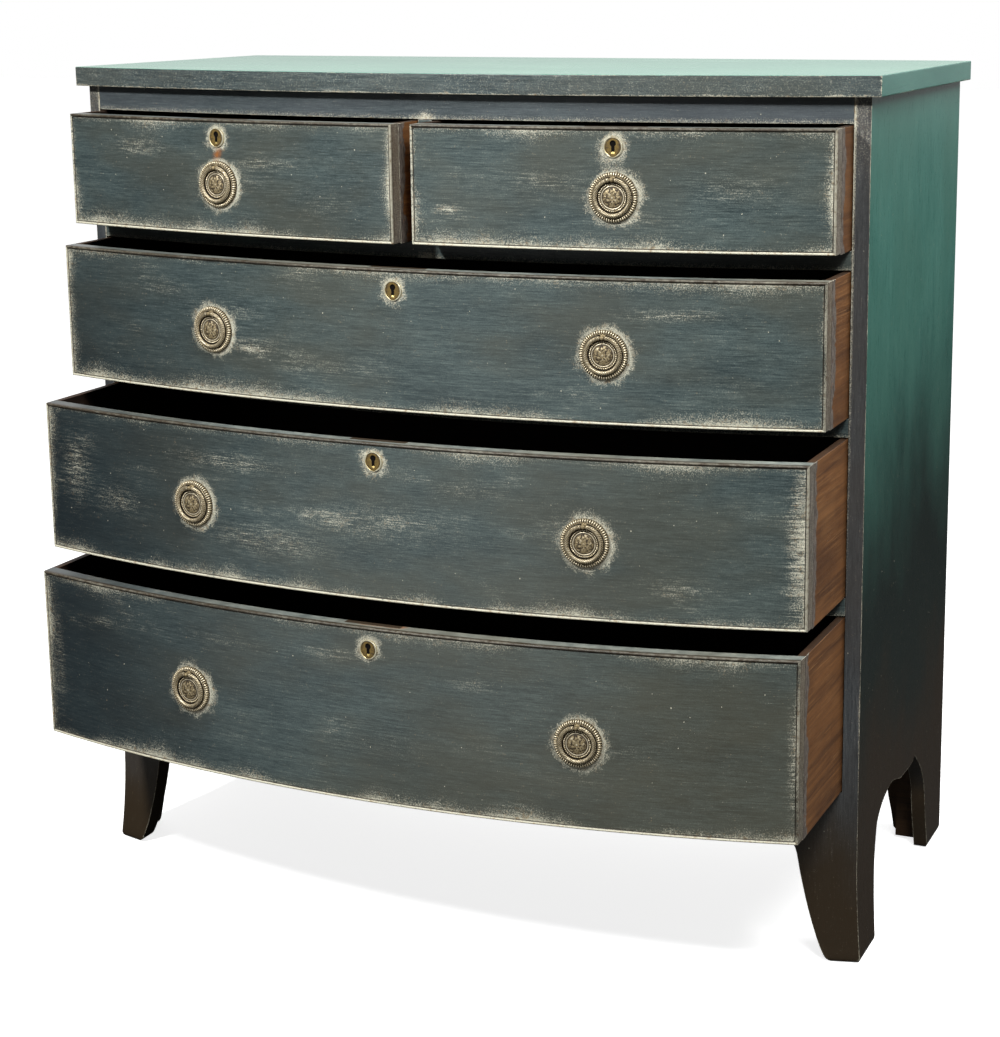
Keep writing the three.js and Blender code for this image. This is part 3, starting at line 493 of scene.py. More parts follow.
def revolve(profile, count, modulate=None):
    """A shape turned round -Y. profile holds (radius, height, hollow), and modulate changes them by angle."""
    verts, hollow = [], []
    for k in range(count):
        angle = 2 * math.pi * k / count
        for r, h, dirt in profile:
            if modulate is not None:
                r, h, dirt = modulate(r, h, dirt, angle)
            verts.append((r * math.cos(angle), -h, r * math.sin(angle)))
            hollow.append(dirt)
    size = len(profile)
    corners = ((k * size + j, (k + 1) % count * size + j) for k in range(count) for j in range(size - 1))
    return verts, [(a, a + 1, b + 1, b) for a, b in corners], hollow


def merged(*shapes):
    verts, faces, hollow = [], [], []
    for v, f, d in shapes:
        start = len(verts)
        verts += v
        hollow += d
        faces += [tuple(start + i for i in face) for face in f]
    return verts, faces, hollow


def on_bow(angle, *place):
    """Moves a piece to its place and turns it square to the bow there."""
    return Matrix.Translation(place) @ Matrix.Rotation(angle, 4, "Z")


def metal_piece(name, shape, material, x, y, z, angle):
    verts, faces, hollow = shape
    spin = on_bow(bow_angle(x), x, y, z)
    piece = build(name, [spin @ Vector(v) for v in verts], faces, [material], None, {"hollow": hollow}, angle)
    weld = piece.modifiers.new("weld", "WELD")
    weld.merge_threshold = 1e-6
    return piece


# ---- top, rails and boards
TOP_OUT = 0.0125  # how far the top stands out over the fronts
TOP_ROUND = 0.0012
top_low, top_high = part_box("top_board")
top_deep = top_high.y - bow_y(0, TOP_OUT)
top_xs = stops(2 * top_high.x, 0.012)
top_ts = stops(top_deep, 0.03, NEAR + (0.02,))
top_zs = stops(top_high.z - top_low.z, 0.005, (0.0005, 0.0011, 0.0018, 0.0026, 0.005))


def top_place(x, t, z):
    px = x - top_high.x
    front = bow_y(px, TOP_OUT)
    return (px, front + t * (top_high.y - front) / top_deep, top_low.z + z)


def top_edge(x, t, z):
    """The upper arris kept its paint better than the others."""
    away = (min(x, top_xs[-1] - x), min(t, top_ts[-1] - t), min(z, top_zs[-1] - z + 0.003))
    return sorted(away)[1] / MM


top = lattice("worn_top", top_xs, top_ts, top_zs, TOP_ROUND, top_place,
              {"": paint_end_top, "front": paint_top_edge, "top": paint_top, "bottom": paint_plain},
              None, {"feather": lambda x, t, z: 0.18 if t < 0.001 else 0.0, "edge": top_edge})
dress(top, "carcase", "green_paint", "top_board")

FRIEZE_END, DIVIDER_END = 0.032 + SHIFT_Y, 0.050 + SHIFT_Y  # where the rails end behind
DUST_BOARD = 0.009
OVER_MUNTIN = 0.8


def rail(name, node, low_z, high_z, depth_y, material, dust_end=None, patch=0.0):
    """A bowed rail, and the dust board behind it. patch is how bare it is over the muntin."""
    half = INNER - HAIR
    xs = stops(2 * half, 0.016)
    zs = stops(high_z - low_z, 0.006, (0.0004, 0.001))
    ts = [0.0, 0.0004, 0.001, 0.01, 0.03, 0.06, 0.10]

    def place(x, t, z):
        px = x - half
        front = bow_y(px)
        return (px, front + t * (depth_y - front) / ts[-1], low_z + z)

    def feather(x, t, z):
        if t > FACE:
            return 0.0
        return 0.9 * math.exp(-z / 0.0016) + patch * math.exp(-((x - half) / 0.011) ** 4 - (z / 0.009) ** 4)

    piece = lattice(name, xs, ts, zs, 0.0006, place, {"": carcase_inside, "front": material},
                    None, {"feather": feather})
    dress(piece, "carcase", "front_paint", node)
    if dust_end is not None:
        board = box_board(name + "_dust_board", (-half, depth_y + 0.0002, high_z - DUST_BOARD),
                          (half, dust_end, high_z), 0.0005, {"": carcase_inside}, 0.08)
        dress(board, "carcase", "carcase_wood")


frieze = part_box("frieze_rail")
rail("bowed_frieze", "frieze_rail", frieze[0].z, frieze[1].z, FRIEZE_END, paint_frieze, patch=OVER_MUNTIN)
for level in ("upper", "middle", "lower"):
    low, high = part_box("divider_" + level)
    rail("bowed_divider_" + level, "divider_" + level, low.z, high.z, DIVIDER_END, paint_plain,
         high.y, OVER_MUNTIN if level == "upper" else 0.0)

low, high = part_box("top_muntin")
short_floor, frieze_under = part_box("divider_upper")[1].z, frieze[0].z
muntin = box_board("worn_muntin", (low.x, bow_y(0), short_floor + HAIR),
                   (high.x, high.y, frieze_under - HAIR), 0.0006,
                   {"": carcase_inside, "front": paint_upright}, 0.01)
dress(muntin, "carcase", "front_paint", "top_muntin")
low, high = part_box("top_drawer_guide")
batten = box_board("batten", low, high, 0.001, {"": carcase_inside}, 0.05)
dress(batten, "carcase", "carcase_wood", "top_drawer_guide")

# ---- footed boards
SPLAY_HEIGHT, SPLAY_OUT, SPLAY_FORWARD = 0.135, 0.008, 0.006


def splay_at(z):
    return max(0.0, 1 - z / SPLAY_HEIGHT) ** 2


def spline(points, per_span, corners=()):
    """A smooth line through points, with a corner at each index in corners."""
    result = []
    for k in range(len(points) - 1):
        p1, p2 = Vector(points[k]), Vector(points[k + 1])
        p0 = Vector(points[k - 1]) if k > 0 and k not in corners else p1 * 2 - p2
        p3 = Vector(points[k + 2]) if k + 2 < len(points) and k + 1 not in corners else p2 * 2 - p1
        for s in range(per_span):
            t = s / per_span
            value = 0.5 * ((2 * p1) + (p2 - p0) * t + (2 * p0 - 5 * p1 + 4 * p2 - p3) * t * t
                           + (3 * p1 - p0 - 3 * p2 + p3) * t * t * t)
            result.append(tuple(value))
    result.append(tuple(points[-1]))
    return result


LAYERS = (0.0, 0.04, 0.15, 0.55, 0.8, 0.96, 1.0)  # shares of a footed board's thickness


def footed(name, outline, heights, place, materials, extra):
    """A board over a foot outline. heights(foot) gives the rows over each foot point."""
    rows = len(heights(0.0))
    count = len(outline)
    verts, attributes = [], {key: [] for key in extra}
    for layer in LAYERS:
        for r in range(rows):
            for along, foot in outline:
                z = heights(foot)[r]
                verts.append(place(along, z, layer))
                for key in extra:
                    attributes[key].append(extra[key](along, z, layer))
    faces, chosen = [], []

    def at(layer, r, c):
        return (layer * rows + r) * count + c

    def quad(material, *corners):
        faces.append(tuple(at(*corner) for corner in corners))
        chosen.append(material)

    last, end, over = len(LAYERS) - 1, count - 1, rows - 1
    for r in range(over):
        for c in range(end):
            quad(0, (0, r, c), (0, r, c + 1), (0, r + 1, c + 1), (0, r + 1, c))
            quad(1, (last, r, c), (last, r + 1, c), (last, r + 1, c + 1), (last, r, c + 1))
        for k in range(last):
            quad(2, (k, r, 0), (k, r + 1, 0), (k + 1, r + 1, 0), (k + 1, r, 0))
            quad(2, (k, r, end), (k + 1, r, end), (k + 1, r + 1, end), (k, r + 1, end))
    for k in range(last):
        for c in range(end):
            quad(2, (k, 0, c), (k + 1, 0, c), (k + 1, 0, c + 1), (k, 0, c + 1))
            quad(2, (k, over, c), (k, over, c + 1), (k + 1, over, c + 1), (k + 1, over, c))
    attributes.setdefault("halo", [FAR] * len(verts))
    return build(name, verts, faces, materials, chosen, attributes)


def distance_to(line, a, b):
    """The distance from a point to a line of many spans, in mm."""
    best = 1e9
    for (x0, y0), (x1, y1) in zip(line, line[1:]):
        dx, dy = x1 - x0, y1 - y0
        t = ((a - x0) * dx + (b - y0) * dy) / max(dx * dx + dy * dy, 1e-12)
        t = min(1.0, max(0.0, t))
        best = min(best, math.hypot(a - x0 - t * dx, b - y0 - t * dy))
    return best / MM


# the feet's outlines, as shares of the foot's width or the chest's depth, and of the base's height
FRONT_FOOT = [
    (0, 0), (0.5, 0), (0.56, 0.02), (0.66, 0.11), (0.79, 0.29), (0.91, 0.5), (1, 0.66),
    (1.14, 0.71), (1.36, 0.755), (1.66, 0.785), (2.1, 0.775), (2.7, 0.745), (3.4, 0.735),
]
SIDE_FOOT = [
    (0.15, 0), (0.158, 0.02), (0.163, 0.1), (0.172, 0.25), (0.184, 0.45), (0.2, 0.59), (0.2136, 0.667),
    (0.2465, 0.723), (0.2873, 0.761), (0.353, 0.792), (0.405, 0.782), (0.467, 0.745), (0.53, 0.738),
    (0.594, 0.737), (0.645, 0.764), (0.674, 0.713), (0.719, 0.634), (0.7486, 0.56), (0.777, 0.451),
    (0.79, 0.321), (0.806, 0.205), (0.825, 0.086), (0.836, 0.015), (0.85, 0), (1, 0),
]
FOOT_WIDTH = 0.070
APRON_SPANS = 36
half_foot = spline([(WIDTH / 2 - a * FOOT_WIDTH, b * BASE) for a, b in FRONT_FOOT], 4, (1,))
apron_x, apron_z = half_foot[-1]
apron = [(apron_x - 2 * apron_x * k / APRON_SPANS, apron_z) for k in range(1, APRON_SPANS)]
base_line = set(half_foot + apron + [(-x, z) for x, z in half_foot])
base_line = sorted(base_line, key=lambda p: (p[0], p[1] if p[0] > 0 else -p[1]))
base_shares = [0, 0.004, 0.012, 0.03, 0.07, 0.14, 0.22, 0.3, 0.38, 0.46, 0.55, 0.65, 0.78, 0.9, 0.96, 0.99, 1]


def rows_over(foot, shares):
    return [foot + (BASE - foot) * s for s in shares]


def worn_foot(z, reach=0.007):
    """How far a foot's arrises are worn back near the floor."""
    if z >= reach:
        return 0.0
    return 0.8 * (reach - math.sqrt(reach ** 2 - (reach - z) ** 2))


def base_place(x, z, layer):
    foot = splay_at(z) if abs(x) > apron_x else 0.0
    worn = worn_foot(z)
    outer, inner = WIDTH / 2, WIDTH / 2 - 0.5 * FOOT_WIDTH
    if worn and abs(x) > inner - 0.02:
        share = min(1.0, max(0.0, (abs(x) - inner) / (outer - inner)))
        x = math.copysign(abs(x) + worn * (1 - 2 * share), x)
    y = bow_y(x, -BASE_THICKNESS * layer) - SPLAY_FORWARD * foot + worn * (1 - layer)
    return (x + math.copysign(SPLAY_OUT * foot, x), y, z)


def base_edge(x, z, layer):
    """Distance to an arris that shows: the arch's two edges and the front corner."""
    across = BASE_THICKNESS / MM
    arch = distance_to(base_line, x, z)
    corner = math.hypot((WIDTH / 2 - abs(x)) / MM, layer * across)
    return min(math.hypot(arch, min(layer, 1 - layer) * across), corner)


base = footed("worn_base_front", base_line, lambda foot: rows_over(foot, base_shares), base_place,
              [paint_base, pine_across, paint_side], {"edge": base_edge})
dress(base, "carcase", "front_paint", "base_front")

UPPER_ROWS = 26
REBATE_LAYER, REBATE_DROP = 0.56, 0.0005  # where the back lies in the side's rear edge
REBATE_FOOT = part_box("back_panel")[0].z - HAIR
CORNER_REACH = 0.05  # how far back the side follows the bow
side_line = [(0.0, 0.0)] + spline([(a * DEPTH, b * BASE) for a, b in SIDE_FOOT], 4, (14, 23, 24))
panel_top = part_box("side_panel_right")[1].z
upper_rows = [BASE + (panel_top - BASE) * k / UPPER_ROWS for k in range(1, UPPER_ROWS + 1)]
side_shares = [0, 0.004, 0.012, 0.03, 0.07, 0.14, 0.22, 0.32, 0.45, 0.6, 0.8, 1]
side_outline = [(v, 0.0) for v in (0.0, 0.0004, 0.0012, 0.003, 0.008, 0.02, 0.04)]
side_outline += [p for p in side_line[1:-1] if p[0] < DEPTH - 0.045]
side_outline += [(DEPTH - v, 0.0) for v in (0.04, 0.02, 0.008, 0.003, 0.001, 0.0)]


def side_rows(foot):
    return rows_over(foot, side_shares) + [BASE + 2e-6] + upper_rows


def stile_feather(y, z, layer):
    """The stile is worn more the higher it is, and along its inner edge."""
    if y > 1e-6 or layer == 0:
        return 0.0
    return 0.3 * smooth(0.86, 1.0, z) + 0.9 * smooth(0.78, 1.0, layer) * smooth(0.3, 0.9, z)


def side_edge(y, z, layer):
    across = SIDE / MM
    arch = distance_to(side_line, y, z) if z < BASE + 0.02 and y >= 0.02 else FAR
    corner = y / MM if z > BASE else FAR
    corner = math.hypot(min(corner, (DEPTH - y) / MM), layer * across)
    return min(math.hypot(arch, min(layer, 1 - layer) * across), corner)


for sign, label in ((1, "right"), (-1, "left")):
    def side_place(y, z, layer, sign=sign):
        x = WIDTH / 2 - SIDE * layer
        # over the base the board comes forward to the bow; below, the base's front covers its edge
        start = bow_y(x) - SHIFT_Y if z > BASE else bow_y(x, -BASE_THICKNESS) - SHIFT_Y + HAIR
        if y < CORNER_REACH:
            y += start * (1 - smooth(0.0, CORNER_REACH, y))
        foot = splay_at(z) * (1 - smooth(0.1, 0.3, y))
        worn = worn_foot(z) * (1 - layer)
        if z > REBATE_FOOT and layer > REBATE_LAYER and y > DEPTH - 0.0005:
            y -= REBATE_DROP
        return (sign * (x + SPLAY_OUT * foot - worn), y - SPLAY_FORWARD * foot + SHIFT_Y, z)

    panel = footed("worn_side_" + label, side_outline, side_rows, side_place,
                   [paint_side, carcase_inside, paint_base], {"edge": side_edge, "feather": stile_feather})
    if sign > 0:
        panel.data.flip_normals()
    dress(panel, "carcase", "green_paint", "side_panel_" + label)


def clad(node, material):
    """Give a material to a solid that keeps its CAD shape."""
    mesh = frame["nodes"][node].data
    mesh.materials.clear()
    mesh.materials.append(material)


clad("back_panel", pine_upright)
for node in ("bottom_board", "rear_bracket_right", "rear_bracket_left"):
    clad(node, pine_across)

# ---- brasses, their outlines in mm
FLUTES = 60
BEADS, BEAD_ROW, BEAD_RADIUS = 44, 15.05, 1.05
PLATE_PROFILE = [
    (0.0, 6.5, 0.3), (0.7, 6.5, 0.1), (1.4, 6.3, 0.5), (1.9, 6.1, 0.6), (2.4, 6.25, 0.4),
    *((2.4 + 0.8 * k, 6.25 - 0.011 * k ** 2.1, 0.35) for k in range(1, 11)),
    (10.9, 4.8, 0.7), (11.3, 4.3, 1.0), (11.8, 4.2, 0.9), (12.2, 4.5, 0.1), (12.7, 4.6, 0.0),
    (13.1, 4.5, 0.2), (13.4, 4.1, 0.8), *((13.7 + 0.3 * k, 4.05, 0.6) for k in range(10)),
    (16.6, 3.8, 0.8), (16.75, 3.2, 1.0), (18.0, 3.0, 1.0), (20.0, 3.0, 0.95), (22.0, 3.0, 0.95),
    (22.5, 3.1, 1.0), (22.7, 3.8, 0.8), (22.9, 4.2, 0.2), (23.2, 4.3, 0.1), (23.4, 3.9, 0.8),
    (23.7, 4.1, 0.4), (24.2, 4.5, 0.1), (24.9, 4.75, 0.0), (25.7, 4.75, 0.0), (26.4, 4.5, 0.0),
    (27.0, 4.0, 0.05), (27.5, 3.2, 0.15), (27.8, 2.2, 0.3), (27.95, 1.2, 0.6), (28.0, 0.2, 1.0),
]


def plate_relief(r, h, dirt, angle):
    """The cast relief of a back plate: a worn rosette, a row of beads and a fluted rim."""
    if 2.4 < r < 10.6:  # eight petals, worn nearly flat
        petal = abs(math.cos(4 * angle + 0.35 * math.sin(r)))
        reach = math.sin(math.pi * (r - 2.2) / 8.6)
        spot = Vector((r * math.cos(angle), r * math.sin(angle), 3.0))
        lumps = noise.noise(spot * 0.55) + 0.7 * noise.noise(spot * 1.3)
        h += reach * (0.1 * (petal ** 0.6 - 0.6) + 0.4 * lumps)
        dirt = min(1.0, max(0.25, 0.55 - 0.7 * lumps))
    if 13.6 <= r <= 16.5:
        phase = (angle * BEADS / (2 * math.pi)) % 1 - 0.5
        along = phase * 2 * math.pi * BEAD_ROW / BEADS
        lift = 1 - (along ** 2 + (r - BEAD_ROW) ** 2) / BEAD_RADIUS ** 2
        dirt = 0.95
        if lift > 0:
            h += 1.0 * math.sqrt(lift)
            dirt = 0.6 * (1 - lift)
    if r >= 23.6:
        wave = abs(math.sin(angle * FLUTES / 2))
        deep = (1 - wave ** 0.8) * min(1.0, (r - 23.5) / 0.6)
        h -= 1.3 * deep * min(1.0, h / 2.5)
        dirt = min(1.0, dirt + 1.2 * deep)
        r -= 0.8 * deep * (r - 23.5) / 4.5
    return r * MM, h * MM, dirt


def lathe(points, count, dirt):
    return revolve([(r * MM, h * MM, dirt) for r, h in points], count)


PIVOT = 7.2  # from the drawer's face to the ring's pin
RING = 19.8  # the ring's middle radius, and how far the pin is above the plate's middle
PIN_GAP = 2.9
BAR = 2.45  # half the ring's thickness
RING_BACK = 1.1  # how far the ring lies behind its pin
RING_STEPS, BAR_SIDES = 216, 20
RIBS = 56


def post_shape():
    """The knuckle that the ring hangs in: a collar, a neck and a round end."""
    collar = [(0.0, 2.9), (3.6, 2.9), (3.6, 3.5), (3.0, 3.9), (2.4, 4.3)]
    head = [(2.4, 5.2), (2.45, 6.4), (2.45, 7.6), (2.4, 8.8), (2.1, 9.6), (1.6, 10.1),
            (0.9, 10.4), (0.0, 10.5)]
    verts, faces, hollow = lathe(collar + head, 28, 0.5)
    return [(x, y, z + RING * MM) for x, y, z in verts], faces, hollow


def shank_shape():
    """The shank through the drawer's front, and its nut."""
    shank = lathe([(0.0, -18.2), (2.4, -18.2), (2.4, 0.5), (0.0, 0.5)], 16, 0.6)
    points = [(0.0, -22.3), (5.4, -22.3), (6.3, -21.8), (6.3, -18.8), (5.6, -18.3), (0.0, -18.3)]
    return merged(shank, lathe(points, 6, 0.6))


def ring_shape():
    """Half-round ring with slanting ribs, whose two ends meet the knuckle, and its pin."""
    verts, faces, hollow = [], [], []
    gap = math.asin(PIN_GAP / RING)
    for k in range(RING_STEPS + 1):
        angle = math.pi / 2 + gap + (2 * math.pi - 2 * gap) * k / RING_STEPS
        from_end = min(k, RING_STEPS - k) / 5
        collar = 1 - smooth(0.6, 1.2, from_end)
        collar_size = BAR * (0.8 + 0.18 * smooth(0.0, 0.5, from_end))
        back = RING_BACK * smooth(0.8, 2.2, from_end)
        for s in range(BAR_SIDES):
            phi = 2 * math.pi * s / BAR_SIDES
            outward, forward = math.cos(phi), math.sin(phi)
            ribs = 0.5 + 0.5 * math.cos(RIBS * angle + 1.6 * outward * math.pi)
            ribbed = smooth(-0.2, 0.35, forward)
            groove = math.exp(-((outward - 0.45) / 0.12) ** 2) * ribbed
            size = BAR * (0.985 - 0.13 * ribs * ribbed - 0.06 * groove)
            size = size * (1 - collar) + collar_size * collar
            flat = 0.86 if forward < 0 else 0.93
            radius = RING + size * outward
            verts.append((radius * math.cos(angle) * MM, (back - size * forward * flat) * MM,
                          (radius * math.sin(angle) - RING) * MM))
            hollow.append(min(1.0, 0.8 * ribs * ribbed + 0.5 * groove + (0.9 if forward < -0.1 else 0.0)))
    for k in range(RING_STEPS):
        for s in range(BAR_SIDES):
            a, b = k * BAR_SIDES + s, k * BAR_SIDES + (s + 1) % BAR_SIDES
            faces.append((a, b, b + BAR_SIDES, a + BAR_SIDES))
    faces.append(tuple(range(BAR_SIDES - 1, -1, -1)))
    faces.append(tuple(RING_STEPS * BAR_SIDES + s for s in range(BAR_SIDES)))
    pin = lathe([(0.0, -4.6), (1.4, -4.6), (1.4, 4.6), (0.0, 4.6)], 14, 0.7)
    pin = ([(v[1], v[0], v[2]) for v in pin[0]], [f[::-1] for f in pin[1]], pin[2])
    return merged((verts, faces, hollow), pin)


KEY_PLATE, KEY_SPANS = 11.3, 96  # the key plate's radius, and how many spans it is turned in
KEY_RISE, KEY_RADIUS, KEY_HALF, KEY_FOOT = 4.0, 3.5, 1.8, 7.0
# shares of the way out from the keyhole, heights in mm, and hollow
KEY_PROFILE = [
    (0.0, 0.12, 1.0), (0.0, 1.0, 0.9), (0.06, 1.3, 0.3), (0.2, 1.35, 0.5), (0.5, 1.3, 0.55),
    (0.68, 1.25, 0.7), (0.73, 1.15, 1.0), (0.78, 1.5, -0.1), (0.84, 1.85, -0.5), (0.93, 1.85, -0.6),
    (0.98, 1.5, -0.6), (1.0, 1.0, -0.4), (1.0, -0.3, 0.6),
]


def keyhole_point(angle):
    """Where a ray from the middle of the key plate meets the keyhole's outline, in mm."""
    dx, dz = math.cos(angle), math.sin(angle)
    along = dz * KEY_RISE
    root = along * along - KEY_RISE * KEY_RISE + KEY_RADIUS * KEY_RADIUS
    if dz > 0 and root >= 0:
        return along + math.sqrt(root)
    return min(KEY_FOOT / -dz if dz < 0 else 1e9, KEY_HALF / max(abs(dx), 1e-9))


def key_relief(share, h, dirt, angle):
    inner = keyhole_point(angle)
    return (inner + (KEY_PLATE - inner) * share) * MM, h * MM, dirt


def escutcheon_shape():
    """The key plate. Its last face is the bottom of the keyhole, coloured near black as painted shade."""
    verts, faces, hollow = revolve(KEY_PROFILE, KEY_SPANS, key_relief)
    start = len(verts)  # the foot of the keyhole, worn bright
    slope = ((-6.9, 1.2), (-5.1, 0.5), (-5.0, 0.15))
    verts += [(x * MM, -h * MM, z * MM) for z, h in slope for x in (-1.6, 1.6)]
    hollow += [0.1] * 6
    faces += [(start, start + 1, start + 3, start + 2), (start + 2, start + 3, start + 5, start + 4)]
    faces.append(tuple(k * len(KEY_PROFILE) for k in range(KEY_SPANS)))
    return verts, faces, hollow


plate_parts = merged(revolve(PLATE_PROFILE, FLUTES * 6, plate_relief), post_shape(), shank_shape())
ring_parts = ring_shape()
key_plate = escutcheon_shape()

# ---- drawers
# how far the lock is below the top, the pulls' height as a share, their sides, and where the brush ran dry:
# shares of the front's length and height, two reaches in metres and an amount
DRAWERS = {
    "top_left": (0.0215, 0.44, (-1,), (
        (0.52, 0.45, 0.06, 0.014, 0.6), (0.62, 0.62, 0.05, 0.012, 0.5), (0.25, 0.75, 0.05, 0.010, 0.5),
        (0.8, 0.3, 0.04, 0.02, 0.4))),
    "top_right": (0.0215, 0.44, (1,), (
        (0.09, 0.3, 0.02, 0.008, 0.9), (0.35, 0.55, 0.07, 0.02, 0.5), (0.55, 0.25, 0.06, 0.012, 0.45),
        (0.78, 0.5, 0.06, 0.02, 0.5), (0.995, 0.5, 0.010, 0.06, 1.0))),
    "upper": (0.0245, 0.48, (-1, 1), (
        (0.30, 0.38, 0.035, 0.008, 1.0), (0.26, 0.62, 0.06, 0.012, 0.6), (0.17, 0.75, 0.05, 0.010, 0.5),
        (0.45, 0.3, 0.08, 0.02, 0.35), (0.83, 0.76, 0.07, 0.007, 0.8), (0.9, 0.3, 0.05, 0.012, 0.3),
        (0.7, 0.2, 0.06, 0.01, 0.4))),
    "middle": (0.0215, 0.48, (-1, 1), (
        (0.05, 0.6, 0.03, 0.05, 0.7), (0.12, 0.42, 0.05, 0.02, 0.6), (0.30, 0.78, 0.09, 0.012, 0.7),
        (0.36, 0.3, 0.09, 0.02, 0.7), (0.5, 0.5, 0.12, 0.03, 0.5), (0.74, 0.55, 0.05, 0.03, 0.5),
        (0.62, 0.75, 0.06, 0.012, 0.5), (0.995, 0.5, 0.016, 0.09, 1.6), (0.85, 0.25, 0.05, 0.012, 0.4))),
    "lower": (0.026, 0.48, (-1, 1), (
        (0.02, 0.5, 0.012, 0.08, 0.6), (0.3, 0.8, 0.08, 0.01, 0.4), (0.45, 0.82, 0.05, 0.008, 0.7),
        (0.63, 0.74, 0.03, 0.006, 0.9), (0.8, 0.45, 0.05, 0.01, 0.4), (0.5, 0.35, 0.1, 0.02, 0.3),
        (0.995, 0.45, 0.008, 0.08, 0.9))),
}
PULL_X = 0.2505
KEY_HALO, PULL_HALO = 0.012, 0.028
FRONT_STOPS = (0.0003, 0.0008, 0.0014, 0.0020, 0.0026, 0.0030, 0.00345, 0.0039, 0.006, 0.010, 0.015)
FRONT_LAYERS = [0.0, 0.0006, 0.002, 0.006, 0.012, 0.0165, 0.0175, FRONT_THICKNESS]
# the lock's case and its plate in the front's top edge: two corners and a radius
LOCK_BOXES = {
    "_lock_case": ((-0.029, 0.0092, -0.044), (0.029, 0.0181, -0.0002), 0.0008),
    "_selvedge": ((-0.036, 0.0092, -0.002), (0.036, 0.018, 0.0002), 0.0006),
}


def bead_relief(d):
    """Height of the cock bead and its quirk at a distance from the front's edge."""
    if d < BEAD:
        return BEAD_STAND * math.sqrt(max(0.0, 1 - ((d - BEAD / 2) / (BEAD / 2)) ** 2))
    if d < BEAD + QUIRK:
        return -0.0005 * (1 - abs(d - BEAD - QUIRK / 2) / (QUIRK / 2))
    return 0.0


